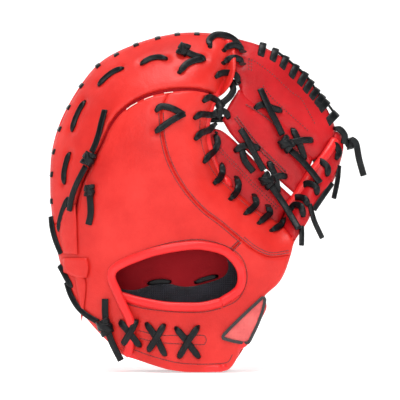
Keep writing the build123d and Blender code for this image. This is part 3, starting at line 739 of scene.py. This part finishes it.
def lace_hole_shadows(name, places, surface, moves):
    """Dark slits of painted shadow where laces pass through the leather."""
    count, half_width, half_height = 14, 3.7, 2.2
    parts = []
    for x, z in places:
        x, z = np.array([float(x)]), np.array([float(z)])
        up = normals_of(surface, x, z)[0]
        centre = np.array((x[0], surface(x, z)[0] + relief(x, z)[0], z[0])) + up * 0.15
        side = np.cross(up, (0, 0, 1.0))
        side /= np.linalg.norm(side)
        rise = np.cross(side, up)
        verts = []
        for size, lift in ((1.0, 0.0), (0.7, 0.1)):
            for i in range(count):
                angle = 2 * math.pi * i / count
                spoke = side * math.cos(angle) * half_width + rise * math.sin(angle) * half_height
                verts.append(centre + size * spoke + up * lift)
        verts += [centre + up * 0.12, centre - up * 0.8]
        faces = ring_faces(2, count)
        for i in range(count):
            k = (i + 1) % count
            faces += [[count + i, count + k, 2 * count], [k, i, 2 * count + 1]]
        parts.append((np.array(verts), faces))
    return add_piece(name, *joined(parts), PAINTED_HOLE_SHADE, moves)


def tube(places, ups, radius, squash=1.0, count=14, step=1.8):
    """A rolled leather edge, flattened by squash."""
    both = spline(np.concatenate((places, ups * 10), 1), step)
    return sweep(both[:, :3], both[:, 3:], round_section(radius, count, squash))


def roll(name, route, surface, radius, moves, replaced=(), squash=0.8):
    return add_piece(name, *tube(*lifted(surface, route), radius, squash), ROLL_PAINTED_LIGHTER, moves, replaced)


def knot_parts(centre, along, up, size):
    """An overhand knot: three leaning wraps side by side and one turn drawn across them."""
    centre, along, up = (np.asarray(v, float) for v in (centre, along, up))
    along /= np.linalg.norm(along)
    up = up - along * np.dot(up, along)
    up /= np.linalg.norm(up)
    side = np.cross(along, up)
    parts = []
    angles = np.linspace(0, 2 * math.pi, 28, endpoint=False)
    for shift, lean, wide in ((-0.27, 0.14, 0.31), (0.03, -0.10, 0.36), (0.32, 0.16, 0.30)):
        radial = np.cos(angles)[:, None] * side * wide + np.sin(angles)[:, None] * up * wide * 0.72
        places = centre + size * (along * shift + radial + np.cos(angles)[:, None] * along * lean * 0.5)
        parts.append(sweep(places, radial, section_points(0.40 * size, 0.30 * size), closed=True))
    turn = np.radians((215, 180, 145, 105, 75, 35, 0, -35))
    across = [centre + size * (0.37 * math.cos(a) * side + 0.40 * math.sin(a) * up
                               - along * 0.3 * math.cos(a)) for a in turn]
    faces_up = [math.cos(a) * side + math.sin(a) * up for a in turn]
    parts.append(lace_strip(np.array(across), np.array(faces_up), width=0.40 * size, thick=0.20 * size))
    return parts


def surface_knot(surface, x, z, along, size, lift):
    place, up = lifted(surface, [(x, z, lift)])
    return knot_parts(place[0], (along[0], 0, along[1]), up[0], size)


def stitches(name, rows, moves, radius=0.46, lift=0.1, out=-1.0, shaped=relief):
    """Sewing: rows are (surface, line of (x, z), offset to the side)."""
    pitch, length = 3.0, 2.25
    parts = []
    for surface, line, offset in rows:
        path = spline(line, 0.6)
        run = run_along(path)
        for start in np.arange(0.4, run[-1] - length, pitch):
            ends = []
            for s in (start, start + length / 2, start + length):
                here, ahead, behind = (np.array([np.interp(at, run, path[:, i]) for i in (0, 1)])
                                       for at in (s, s + 0.3, s - 0.3))
                direction = ahead - behind
                direction /= np.linalg.norm(direction) + 1e-9
                ends.append((here[0] - direction[1] * offset, here[1] + direction[0] * offset))
            ends = np.array(ends)
            x, z = ends[:, 0], ends[:, 1]
            up = normals_of(surface, x, z, out)
            sink = -out * shaped(x, z)
            places = np.stack((x, surface(x, z) + sink, z), -1) + up * np.array((-0.15, lift, -0.15))[:, None]
            parts.append(sweep(places, up, round_section(radius, 6)))
    return add_piece(name, *joined(parts), THREAD, moves)


def edge_turn(x, z, outward, front, rear, front_surface, gap=EDGE_THICKNESS):
    """A lace turn over the rim: from front mm in on the back to rear mm in on the palm."""
    out_x, out_z = outward

    def place(inset, y_of, shift):
        px, pz = np.array([x - out_x * inset]), np.array([z - out_z * inset])
        return np.array((px[0], y_of(px, pz)[0] + shift, pz[0]))

    over = np.array((out_x, 0.0, out_z))
    near, far = np.array((0.0, -1.0, 0.0)), np.array((0.0, 1.0, 0.0))
    rows = [(place(front + 1.5, front_surface, 2.4), near), (place(front * 0.6, front_surface, -1.2), near),
            (place(0.7, front_surface, -1.1), near + over * 0.6),
            (place(-0.9, bowl, -gap / 2), over),
            (place(0.7, bowl, 1.2), far + over * 0.6), (place(rear * 0.6, palm, 1.3), far),
            (place(rear + 1.5, palm, -2.4), far)]
    return np.array([row[0] for row in rows]), np.array([row[1] for row in rows])


# ------------------------------------------------------------------ camera and light
def look_at(obj, target):
    obj.rotation_euler = (Vector(target) - obj.location).to_track_quat("-Z", "Y").to_euler()


def make_camera():
    view_span = 0.384
    distance = 3.0
    middle = Vector((-0.0064, 0.0006, 0.1642))
    data = bpy.data.cameras.new("camera")
    data.sensor_width = 36.0
    data.lens = data.sensor_width * distance / view_span
    camera = linked("camera", data)
    camera.location = middle + Vector((0, -distance, 0))
    look_at(camera, middle)
    bpy.context.scene.camera = camera


def area_light(name, place, size, power):
    data = bpy.data.lights.new(name, "AREA")
    data.shape = "RECTANGLE"
    data.size, data.size_y = size
    data.energy = power
    light = linked(name, data)
    light.location = place
    look_at(light, (0, 0, 0.16))


def make_stage():
    """A pale round floor that sweeps up into a backdrop on every side."""
    profile = [(0.02, 0), (1.5, 0)]
    profile += [(3.5 + 2 * math.sin(a), 2 - 2 * math.cos(a)) for a in np.linspace(0, math.pi / 2, 12)]
    profile.append((5.5, 7))
    around = 64
    points = []
    for radius, z in profile:
        for i in range(around):
            angle = 2 * math.pi * i / around
            points.append((radius * math.cos(angle), radius * math.sin(angle), z))
    faces = [list(range(around))] + ring_faces(len(profile), around)
    mesh = bpy.data.meshes.new("backdrop")
    mesh.from_pydata(points, [], faces)
    mesh.polygons.foreach_set("use_smooth", [True] * len(mesh.polygons))
    floor = linked("backdrop", mesh)
    for name, shade, glow in (("pale_floor", 0.93, 0.5), ("pale_wall", 0.30, 0.03)):
        material, tree, shader, place = node_material(name)
        speck = noise_texture(tree, place, 9.0)
        base_colour(tree, shader, speck, [(0.3, (shade - 0.03,) * 3), (0.7, (shade,) * 3)])
        set_inputs(shader, Roughness=0.9, Emission_Color=(1, 1, 1, 1), Emission_Strength=glow)
        mesh.materials.append(material)
    for face in mesh.polygons:
        face.material_index = int(face.center.z > 1.4 and face.center.y < 0.5)


def make_light():
    world = bpy.data.worlds.new("studio")
    world.use_nodes = True
    set_inputs(world.node_tree.nodes["Background"], Color=(1, 1, 1, 1), Strength=0.3)
    bpy.context.scene.world = world
    area_light("key", (-0.35, -2.2, 1.6), (0.9, 0.9), 18.5)
    area_light("fill", (1.5, -2.0, 0.6), (1.2, 1.2), 7)
    area_light("top", (-0.1, -0.5, 2.0), (1.2, 0.5), 25)
    bpy.context.scene.view_settings.view_transform = "Standard"


# ------------------------------------------------------------------ shells
def make_shells():
    panel("finger_band", [LEFT_EDGE, TOP_EDGE, COLUMN_EDGE, BAND_INNER, [(-121, 150), (-141, 140)]], back,
          SHELL, "fold", ["finger_back_panel"], rolls=[(BAND_INNER, 6.5, 5.0)])
    panel("hand_back", [BACK_UPPER, BACK_SEAM, [(39, 126), (26, 112.5)], OPENING_LEFT_TOP[::-1], FLAP_EDGE,
                        PINKY_HEEL_EDGE, [(-141, 140), (-120, 148)]], back,
          SHELL, "fold", ["hand_back_panel", "pinky_heel_panel"],
          rolls=[(BACK_UPPER, 3.0, 2.5), (FLAP_EDGE, 4.5, 2.0)])
    panel("index_back", [INDEX_TOP, INDEX_EDGE, CROTCH_EDGE, [(77, 142), (90, 125)], [(90, 125), (86, 112)],
                         THUMB_SEAM[::-1], BACK_SEAM[::-1]], back,
          SHELL, "fold", ["index_back_panel", "crotch_back_panel"])
    panel("thumb_heel", [THUMB_SEAM, [(86, 112), (80, 95), (73, 84), (61, 73)], THUMB_HEEL_EDGE, HEEL_CORNER,
                         [(20, 1), (20, 70)], OPENING_RIGHT[::-1], [(26, 112.5), (39, 126)]], back,
          SHELL, "fold", ["thumb_heel_panel"], seamless=[(20, 1), (20, 70)])
    panel("thumb_outer", [THUMB_INNER_EDGE, THUMB_TIP, THUMB_OUTER_EDGE, [(90, 125), (77, 142)]], back,
          WEB_LEATHER_AND_SHADE, "fold", ["thumb_outer_panel"], puff=1.0)
    panel("wrist_strap", [STRAP_BOTTOM, [(20, 1), (20, 70)], STRAP_TOP, [(-80, 76), (-80, 45), (-74, 18)]],
          strap_face, SHELL, "strap", ["wrist_strap_outer"], seamless=[(20, 1), (20, 70)])


CREASE_LINE = [(30, 170), (34, 120), (38, 70), (36, 10)]
PALM_SEAMS = [
    [(-112, 66), (-92, 98), (-56, 112), (-18, 106), (8, 82), (20, 46), (22, 12)],
    [(52, 36), (44, 66), (50, 96), (66, 118), (86, 138)],
]
PALM_FOLDS = [
    ([(-96, 150), (-60, 166), (-20, 172), (22, 168)], 5.0, 1.4),
    ([(-110, 190), (-70, 204), (-30, 206), (2, 200)], 5.0, 0.9),
    ([(46, 120), (60, 134), (74, 150)], 4.0, 1.2),
]
PALM_RIM_STITCH = [(-124, 100), (-131, 140), (-132, 176), (-129, 212), (-117, 247), (-91, 283), (-58, 301),
                   (-20, 310), (8, 311)]


def pocket_side(x, z):
    """Whatever faces the ball: the web inside its lacing, the palm outside it."""
    x, z = np.asarray(x, float), np.asarray(z, float)
    web = inside_ring(x, z, WEB_HOLE)
    return np.where(web, web_face(x, z) + 5.0, palm(x, z))


def make_palm_details():
    rows = [(palm, PALM_RIM_STITCH, 0), (palm, PALM_RIM_STITCH, 3.0)]
    rows += [(palm, line, offset) for line in PALM_SEAMS for offset in (2.0, -2.0)]
    stitches("palm_stitching", rows, "fold", out=1.0, shaped=palm_relief)
    parts = []
    for group in (COLUMN_LACES[1:4] + COLUMN_LACES[6:7] + COLUMN_LACES[8:], CROTCH_LACES, THUMB_LACES[1:]):
        for route in group:
            ends = np.array([route[0][:2], route[-1][:2]])
            ends = ends.mean(0) + (ends - ends.mean(0)) * 1.15
            middle = ends.mean(0)
            line = [(*ends[0], -1), (*(middle * 0.7 + ends[0] * 0.3), 2.6),
                    (*(middle * 0.7 + ends[1] * 0.3), 2.6), (*ends[1], -1)]
            parts.append(lace_strip(*lifted(pocket_side, line, 1.0), width=5.8, narrow=(True, True)))
    lace_piece("pocket_lace", parts, "fold", ())
    heel = [[(-62, 22, -1), (-52, 30, 2), (-42, 40, -1)], [(-30, 14, -1), (-20, 20, 2), (-8, 28, -1)]]
    parts = [lace_strip(*lifted(palm, route, 1.0), width=5.4, narrow=(True, True)) for route in heel]
    lace_piece("palm_heel_lace", parts, "hand_side", ())


def make_palm():
    pieces = [LEFT_EDGE, TOP_EDGE, COLUMN_EDGE, INDEX_EDGE, CROTCH_EDGE, THUMB_INNER_EDGE, THUMB_TIP,
              THUMB_OUTER_EDGE, THUMB_SIDE_EDGE, THUMB_HEEL_EDGE, [(46, 27), (38, 14), (28, 0.4)], PALM_HEEL,
              [(-70, 19), (-94, 37), (-110, 54), (-123, 76), (-132, 97), (-138, 121), (-141, 140)]]
    panel("palm", pieces, palm, PALM, "fold", ["palm_finger_side", "palm_thumb_side"],
          out=1.0, thick=3.0, shaped=palm_relief)
    lining = outline(
        [(-118, 88), (-128, 130), (-131, 174), (-128, 212), (-114, 250), (-88, 284), (-56, 302),
        (-20, 311), (8, 311)], [(16, 300), (6, 272), (-4, 250), (-8, 230), (-2, 208), (10, 182),
        (34, 158)], [(50, 146), (74, 130), (84, 118), (72, 92), (56, 74), (50, 44), (36, 24), (26, 14)],
        [(-26, 12), (-70, 30), (-100, 58)])
    panel("palm_lining", lining, shifted(bowl, -LINING_DEPTH), LINING, "fold",
          ["palm_lining_finger_side", "palm_lining_thumb_side"], thick=1.4, edge=0.7, step=3.0)


def palm_relief(x, z):
    """The pocket crease, the seams of the heel pads, folds and slow waviness."""
    sink = 3.5 * np.exp(-(line_distance(x, z, CREASE_LINE) / 7.0) ** 2)
    for line, width, depth in PALM_FOLDS:
        sink += depth * np.exp(-(line_distance(x, z, spline(line, 4.0)) / width) ** 2)
    for line in PALM_SEAMS:
        sink += 1.1 * np.exp(-(line_distance(x, z, spline(line, 4.0)) / 3.2) ** 2)
    wave = noise_at(x * 0.03, z * 0.03, 1.7)
    fine = noise_at(x * 0.08, z * 0.08, 5.2)
    fold = noise_at(x * 0.04 - z * 0.02, z * 0.09 + x * 0.02, 6.1)
    creases = np.maximum(0, 1 - np.abs(fold) / 0.07)
    return sink + 0.9 * wave + 0.3 * fine + 0.35 * creases


def make_side_walls():
    """The sides, where the back and the palm are closed to each other."""
    finger_side = PINKY_HEEL_EDGE + LEFT_EDGE[1:] + TOP_EDGE[1:]
    thumb_side = THUMB_OUTER_EDGE + THUMB_SIDE_EDGE[1:] + THUMB_HEEL_EDGE[1:]
    for name, line, moves, replaced in (("finger_side_wall", finger_side, "hand_side", ["pinky_side_wall"]),
                                        ("thumb_side_wall_skin", thumb_side, "fold", ["thumb_side_wall"])):
        wall(name, line, shifted(back, SEAM_OVERLAP), shifted(palm, -SEAM_OVERLAP), moves, replaced)
        path = spline(line, 2.2)
        for edge, surface, shift in (("back_seam", back, 3.6), ("palm_seam", palm, -3.8)):
            x, z = path[:, 0], path[:, 1]
            places = np.stack((x, surface(x, z) + shift, z), -1)
            away = unit(np.stack((x - BOWL_CENTRE[0], np.zeros_like(x), z - BOWL_CENTRE[1]), -1))
            cord = tube(places - away * 0.7, away, 1.3, count=10)
            add_piece(name + "_" + edge, *cord, ROLL_PAINTED_LIGHTER, moves)


def make_pads():
    """The felt and cloth padding between the leather and its linings."""
    finger = outline(
        [(-122, 150), (-124, 200), (-108, 248), (-60, 290), (-14, 300)], [(-6, 296), (-18, 262),
        (-22, 228), (-60, 190)])
    pad = panel("finger_pad_felt", finger, shifted(bowl, -PAD_DEPTH), FELT, "hand_side",
                ["finger_pad"], thick=2.6, edge=1.3, puff=0.5, step=3.4)
    thumb = outline([(84, 132), (96, 156), (116, 190), (122, 200)], [(121, 188), (98, 152), (84, 126)], [])
    pad = panel("thumb_pad_felt", thumb, shifted(bowl, -PAD_DEPTH), FELT, "thumb_side",
                ["thumb_pad"], thick=2.6, edge=1.3, puff=0.5, step=2.6)
    strap = outline(
        [(-66, 22), (-46, 14), (-16, 6), (14, 6)], [(14, 62)], [(-12, 60), (-50, 63), (-70, 66)],
        [(-73, 45)])
    pad = panel("strap_pad_cloth", strap, shifted(strap_face, 3.4), PAD_CLOTH_AND_SHADE, "strap",
                ["wrist_strap_pad"], thick=3.4, edge=1.7, puff=0.4, step=3.0)


def make_dividers():
    """The leather walls between the finger stalls."""
    parts = []
    for x0, z0, x1, z1 in ((-86, 190, -104, 262), (-52, 200, -62, 292), (-16, 206, -18, 298)):
        line = spline([(x0, z0), (x1, z1)], 3.0)
        start = back(line[:, 0], line[:, 1]) + 7.5
        end = bowl(line[:, 0], line[:, 1]) - 11.0
        share = np.linspace(0, 1, 8)
        depth = start[:, None] + (end - start)[:, None] * share
        bend = 1.2 * np.sin(line[:, 1] * 0.09)[:, None] * np.sin(math.pi * share)
        sheets = [np.stack((line[:, :1] + bend + shift, depth, line[:, 1:] + 0 * depth), -1)
                  for shift in (-0.7, 0.7)]
        parts.append(double_sheet(*sheets))
    add_piece("stall_walls", *joined(parts), LINING, "hand_side", ["finger_dividers"])


def make_back_lining():
    pieces = outline(
        [(-118, 130), (-126, 170), (-122, 205), (-104, 245), (-70, 278), (-30, 290), (6, 292)], [(8, 262),
        (-4, 244)], [(-40, 240), (-70, 222), (-92, 190), (-100, 140)])
    panel("stall_lining", pieces, shifted(back, 5.5), LINING, "hand_side",
          ["hand_back_lining"], thick=1.4, edge=0.7, step=3.0)


def make_openings():
    upper = [(-71, 18, 0.6), (-67.5, 22, 1.4), (-66.5, 35, 1.4), (-66.5, 49, 1.6), (-72, 62, 2.2),
             (-79, 78, 2.6), (-84, 92, 2.4), (-77, 102, 2.2), (-46, 114.5, 2.2), (-15, 120.5, 2.2),
             (6, 120.5, 2.2), (26, 114, 2.2), (38.5, 98, 2.2), (37, 80, 2.2), (20, 67.5, 2.2)]
    roll("opening_roll", upper, back, 4.3, "fold", ["wrist_opening_binding"], squash=0.75)
    lower = [(20, 67.5, 2.2), (3, 63.5, 2.2), (-12, 63, 2.2), (-34, 64, 2.2), (-59, 68.5, 2.0),
             (-78, 74, 0.5)]
    roll("strap_roll", lower, strap_face, 4.3, "strap", ["strap_top_binding"], squash=0.75)
    bottom = [(20, 4.6, -1), (0, 4.2, -1), (-16, 4.6, -1), (-30, 6.5, -1), (-46, 11, -1), (-60, 15.5, -1),
              (-71, 19, -1)]
    roll("strap_bottom_roll", bottom, strap_face, 3.4, "strap", ["strap_bottom_binding"])
    corner = [(20, 4.6, -1), (26, 6.5, -1), (31, 13, -1), (36, 24, -1), (43, 29, -1)]
    roll("heel_bottom_roll", corner, back, 3.4, "fold")


# ------------------------------------------------------------------ web
def make_web():
    top = outline(
        [(34, 321), (44, 318.5), (56, 315), (70, 308.5), (86, 299), (103, 284), (114, 269), (122, 255),
        (128, 243), (132, 232)], [(126, 216), (111, 200)], [(92, 216), (76, 234), (63, 245), (49, 252),
        (41, 262), (38, 272)], [(34, 284), (31, 300)])
    panel("web_top", top, web_face, WEB_LEATHER_AND_SHADE, "fold", ["web_top_panel"], thick=4.6, edge=2.2, puff=1.2)
    bar = outline(
        [(37.5, 271), (50, 259.5), (66, 251), (78, 242), (93, 223), (109, 203)], [(101, 185), (91, 170)],
        [(66, 192), (46, 210), (30, 227), (21.5, 241)], [(27.5, 255)])
    panel("web_bar", bar, shifted(web_face, -1.6), WEB_LEATHER_AND_SHADE, "fold", ["web_middle_bar"],
          thick=4.8, edge=2.2, puff=1.0)
    strip = outline(
        [(5, 231), (16, 232.5), (27, 226.5), (46, 208.5), (64, 190), (89, 167)], [(76, 138.5)],
        [(60, 147), (46, 156.5), (29, 172.5), (15, 188), (8, 207)])
    panel("crotch_strip", strip, web_face, WEB_LEATHER_AND_SHADE, "fold", ["thumb_crotch_strip"],
          thick=4.6, edge=2.0, puff=1.0)


WHIP_TURNS = [((58, 301), (0.22, 0.97)), ((69, 296), (0.3, 0.95)), ((78, 289), (0.38, 0.92)),
              ((87, 281), (0.44, 0.9)), ((95, 274), (0.5, 0.87)), ((100, 267), (0.55, 0.83)),
              ((106, 261), (0.6, 0.8)), ((111, 255), (0.64, 0.77)), ((115, 250), (0.66, 0.75)),
              ((123, 239), (0.7, 0.71))]


def make_web_laces():
    parts = []
    rim = []
    for i, ((x, z), outward) in enumerate(WHIP_TURNS):
        size = 14.5 if i < 6 else 12.5
        edge_x, edge_z = x + outward[0] * size, z + outward[1] * size
        places, ups = edge_turn(edge_x, edge_z, outward, size, 10, web_face, 6.0)
        parts.append(lace_strip(places, ups, width=7.0 if i < 9 else 8.4))
        rim.append((edge_x - outward[0] * 0.6, float(web_face(edge_x, edge_z)) + 1.8,
                    edge_z - outward[1] * 0.6))
    for start in (1, 3, 5, 7):
        ups = np.array([(turn[1][0], 0, turn[1][1]) for turn in WHIP_TURNS[start:start + 3]])
        parts.append(lace_strip(np.array(rim[start:start + 3]), ups, width=4.6))
    lace_piece("web_whip_lace", parts, "fold")
    laces("web_cross_ties", WEB_TIES, cover, "fold")
    for name, x, z in (("web_upper_knot", 82.5, 218), ("web_lower_knot", 64, 183)):
        lace_piece(name, surface_knot(cover, x, z, (0.6, -0.8), 14, 8), "thumb_side")


FREE_ENDS = [
    ("pinky_lace_upper_end", back, "hand_side",
     [(-103, 21.2, 210), (-99, 21.2, 219), (-96, 22.5, 229), (-94, 25, 239), (-91, 28.1, 250)]),
    ("pinky_lace_lower_end", back, "hand_side",
     [(-109, 20.3, 196), (-114, 22.4, 187), (-119, 25.2, 177), (-123, 28.1, 166), (-125, 29.9, 154)]),
    ("web_upper_lace_upper_end", web_face, "thumb_side",
     [(79, 46.5, 227), (74, 45.5, 238), (68, 46, 249), (63, 48, 260), (58, 51.5, 271)]),
    ("web_upper_lace_lower_end", web_face, "thumb_side",
     [(87, 47, 212), (95, 45.5, 205), (102, 45.5, 197.5), (109, 44, 189), (115, 41, 181)]),
    ("web_lower_lace_upper_end", web_face, "thumb_side",
     [(61, 40.5, 193), (55, 39, 203), (50, 38.8, 213), (45, 39.6, 223), (39, 41.5, 232)]),
    ("web_lower_lace_lower_end", web_face, "thumb_side",
     [(68, 41, 178), (75, 40.5, 168), (82, 37.8, 158), (88, 32.8, 147), (94, 25.5, 137)]),
]


def nurbs_line(points):
    """The smooth line of a free lace end, as places in millimetres."""
    data = bpy.data.curves.new("lace_line", "CURVE")
    data.dimensions = "3D"
    line = data.splines.new("NURBS")
    line.points.add(len(points) - 1)
    for control, point in zip(line.points, points):
        control.co = (*point, 1.0)
    line.order_u = 3
    line.use_endpoint_u = True
    data.resolution_u = 8
    holder = bpy.data.objects.new("lace_line", data)
    mesh = bpy.data.meshes.new_from_object(holder)
    found = np.array([tuple(v.co) for v in mesh.vertices])
    bpy.data.objects.remove(holder)
    return found


def make_free_ends():
    """The long cut ends of the knotted laces, which lie free on the leather."""
    for name, surface, body, route in FREE_ENDS:
        line = nurbs_line(route)
        ups = normals_of(surface, line[:, 0], line[:, 2])
        verts, faces = sweep(line, ups, section_points(LACE_WIDTH, LACE_THICK))
        piece = add_piece(name, verts, faces, LACE, body, [name])


# ------------------------------------------------------------------ lacing on the body
EDGE_TURNS = [(-3, 325), (-22, 324.5), (-41, 321), (-62, 314.5), (-81, 305), (-99, 294.5), (-115, 275),
              (-127, 254), (-136, 233), (-141.5, 211), (-143.5, 189), (-143.5, 163)]


def make_edge_lace():
    parts = []
    for x, z in EDGE_TURNS:
        away = np.array((x - BOWL_CENTRE[0], z - BOWL_CENTRE[1]))
        away = away / np.linalg.norm(away)
        parts.append(lace_strip(*edge_turn(x, z, away, 0.8, 11, back), width=5.6))
    lace_piece("finger_edge_lace", parts, "hand_side")


def make_laces():
    laces("column_lace", COLUMN_LACES + CROTCH_LACES, cover, "fold",
          ["finger_web_column_lace", "crotch_lace"])
    laces("finger_dash_lace", DASH_LACES, back, "hand_side", width=5.4)
    laces("finger_top_lace", TOP_LACE, back, "fold",
          extra=surface_knot(back, -16, 308, (0.5, 0.9), 12, 5))
    laces("back_seam_lace", SEAM_LACE, back, "hand_side")
    laces("strap_lace", STRAP_CROSSES, strap_face, "strap", ["adjuster_lace"])
    laces("flap_lace", FLAP_CROSS, flap_face, "hand_side")
    laces("left_edge_lace", LEFT_LACES, back, "hand_side", width=5.4)
    laces("thumb_edge_lace", THUMB_LACES, cover, "thumb_side")
    laces("thumb_lace_tails", LACE_TAILS, shifted(back, 2), "thumb_side", width=5.0)
    place = np.array((146.0, float(bowl(np.array(139.0), np.array(220.0))) - 4, 219.0))
    tip = knot_parts(place, (1, 0, 0.4), (0, -1, 0), 11)
    tail = np.array([(146, 72, 223), (151, 71, 219), (154, 71, 204), (158.5, 72, 188)], float)
    tip.append(lace_strip(tail, np.tile((0.0, -1.0, 0.0), (4, 1))))
    lace_piece("thumb_tip_lace", tip, "thumb_side")
    lace_piece("pinky_lace_knot", surface_knot(back, -106, 203, (0.5, 0.85), 13, 5), "hand_side")
    short = surface_knot(back, -105, 173, (0.1, 1), 11, 4)
    tail = [(-105, 171, 4), (-104, 160, 3), (-104, 150, 2.6), (-106, 141, 2.4)]
    short.append(lace_strip(*lifted(back, tail)))
    lace_piece("pinky_short_lace", short, "hand_side")
    heel = surface_knot(back, -90, 44, (0.4, -1), 15, 5)
    for tail in ([(-89, 47, 5), (-90, 58, 3.4), (-90, 70, 3)], [(-88, 42, 5), (-83, 28, 4), (-75, 12, 3)]):
        heel.append(lace_strip(*lifted(back, tail)))
    lace_piece("heel_lace", heel, "hand_side")
    column = [(27, 318), (31, 309), (30, 297), (25, 284), (16, 268), (10, 252), (6, 234), (9, 214), (17, 193),
              (28, 179)]
    roll("column_welt", [(x, z, -2) for x, z in column], cover, 4.2, "fold", ["column_welt"])
    thumb = [(84, 155), (94, 170), (107, 190), (121, 207), (131, 222)]
    roll("thumb_edge_welt", [(x, z, 0) for x, z in thumb], cover, 4.6, "thumb_side", ["thumb_edge_welt"])
    holes = route_ends(COLUMN_LACES[:3], CROTCH_LACES, TOP_LACE[1:], DASH_LACES)
    lace_hole_shadows("lace_holes_back", holes, back, "fold")
    lace_hole_shadows("lace_holes_strap", route_ends(STRAP_CROSSES), strap_face, "strap")


def make_trim():
    tab = outline(
        [(-119, 160), (-118, 145), (-117.5, 126), (-117, 112)], [(-131, 113)], [(-134, 126), (-135, 137),
        (-133, 147), (-128, 157)])
    panel("pinky_tab", tab, shifted(back, -3.2), SHELL, "hand_side", ["pinky_tab"],
          thick=2.6, edge=1.3)
    keeper = outline([(-132, 109), (-108, 109)], [(-106, 99), (-108, 90)], [(-118, 90), (-131, 95)], [])
    panel("pinky_loop", keeper, shifted(back, -4.2), SHELL, "hand_side", ["pinky_loop"],
          thick=3.4, edge=1.7)
    tongue = outline(
        [(-120, 92), (-111, 92)], [(-109, 84), (-110, 68), (-113, 47)], [(-116, 68), (-119, 82)])
    panel("pinky_tongue", tongue, shifted(back, -2.6), SHELL, "hand_side", thick=2.4,
          edge=1.2)
    pennant = outline(
        [(22, 33), (23, 37), (40, 54), (59, 71.5)], [(61.5, 70), (59, 58), (54, 45), (47, 30.5)],
        [(44, 28.5), (33, 30)])
    panel("emblem_patch", pennant, shifted(back, -1.4), PATCH, "fold", ["emblem_patch"],
          thick=1.2, edge=0.6, puff=0.5)
    border = ring_of(pennant, 1.5)
    places, ups = lifted(back, [(x, z, 1.8) for x, z in border])
    verts, faces = sweep(places, ups, section_points(3.0, 2.0, 10), closed=True)
    add_piece("emblem_border", verts, faces, PATCH_RIM, "fold")


def make_pale_slivers():
    """Pale slivers along the upper edge of the hand back, in the groove under the finger band."""
    parts = []
    for line in ([(-70, 250.5), (-65, 254), (-60, 256.8)], [(-53, 260), (-49, 261.6), (-45, 263)],
                 [(-34, 266), (-26, 267)]):
        places, ups = lifted(back, [(x, z, 0.5) for x, z in line])
        parts.append(lace_strip(places, ups, width=1.3, thick=1.0, narrow=(True, True)))
    add_piece("band_cut_edge", *joined(parts), PALE_SLIVER, "hand_side")


def make_inside():
    """What shows through the window above the wrist strap."""
    def sunk(by, at_heel):
        """The lining's inner face, by mm further in and at_heel mm more towards the heel."""
        return lambda x, z: bowl(x, z) - 9.8 - by - at_heel * (1 - smooth_step(z, 60, 84))

    # The liner's right part, from z 85 up to 122 beside the window's right end, is partly the real black pad
    # and partly painted shade.
    cloth = outline(
        [(-78, 24), (-20, 20), (34, 24)], [(44, 60), (46, 90), (40, 122)], [(22, 116), (27, 104),
        (24, 92), (8, 85), (-14, 81), (-38, 85), (-62, 78), (-84, 80)], [])
    liner_and_shade = panel("heel_liner", cloth, sunk(2, 10), PAD_CLOTH_AND_SHADE, "fold", ["heel_pad_pinky", "heel_pad_thumb"],
                  thick=3.0, edge=1.5, puff=2.0, step=3.0)
    routes = [[(-50, 84, -1), (-40, 86, 1.8), (-28, 86, -1)], [(-5, 85, -1), (5, 88.5, 1.8), (17, 91.5, -1)]]
    laces("inner_lace", routes, sunk(0, 12), "hand_side", (), width=4.8)


def make_stitching():
    seam = BACK_SEAM[1:]
    rows = [(back, seam, 2.0), (back, seam, -2.2), (back, THUMB_SEAM, 2.0), (back, THUMB_SEAM, 4.2)]
    rows += [(back, [(38, 125), (27, 114)], 1.6), (back, [(38, 125), (27, 114)], -1.6)]
    rows += [(back, line, 0) for line in (
        [(-84, 102), (-69, 110), (-46, 119), (-22, 125), (3, 126.5), (28, 119), (41, 107), (44.5, 88),
         (36, 70), (20, 61.5)],
        [(0, 241), (0, 228), (4, 209), (14, 189), (28, 175), (41, 162), (60, 147)],
        [(20, 9), (27, 11), (31, 18)])]
    stitches("shell_stitching", rows, "fold")
    web_rows = [(web_face, line, 0) for line in (
        [(46, 301), (54, 297), (70, 285), (87, 269), (97, 262), (103, 252), (111, 237)],
        [(60, 275), (68, 264), (87, 246), (105, 230)], [(47, 301), (47, 288)], [(49.5, 300), (49.5, 288)])]
    bar_face = shifted(web_face, -2.4)
    bar_line = [(34, 244), (54, 218), (82, 190)]
    strip_line = [(18, 214), (35, 196), (54, 176), (75, 156)]
    web_rows += [(bar_face, [(44, 256), (60, 246), (74, 234), (92, 214), (97, 205)], 0),
                 (bar_face, bar_line, 1.3), (bar_face, bar_line, -1.3),
                 (web_face, strip_line, 1.3), (web_face, strip_line, -1.3)]
    stitches("web_stitching", web_rows, "fold", lift=1.5, radius=0.6)
    strap_rows = [(strap_face, line, 0) for line in (
        [(20, 61.5), (3, 58), (-22, 58), (-52, 61), (-72, 66)],
        [(20, 9), (-2, 8.5), (-22, 10), (-46, 16), (-66, 23)],
        [(-58, 40), (-38, 36), (0, 36), (5, 34), (6, 31.5), (5, 29), (0, 27), (-38, 29), (-58, 33)])]
    stitches("strap_stitching", strap_rows, "strap")


for make in (make_camera, make_free_ends, make_stage, make_light, make_shells, make_palm,
             make_palm_details, make_side_walls, make_pads, make_dividers, make_back_lining,
             make_openings, make_web, make_web_laces, make_edge_lace, make_laces, make_trim,
             make_pale_slivers, make_inside, make_stitching):
    make()
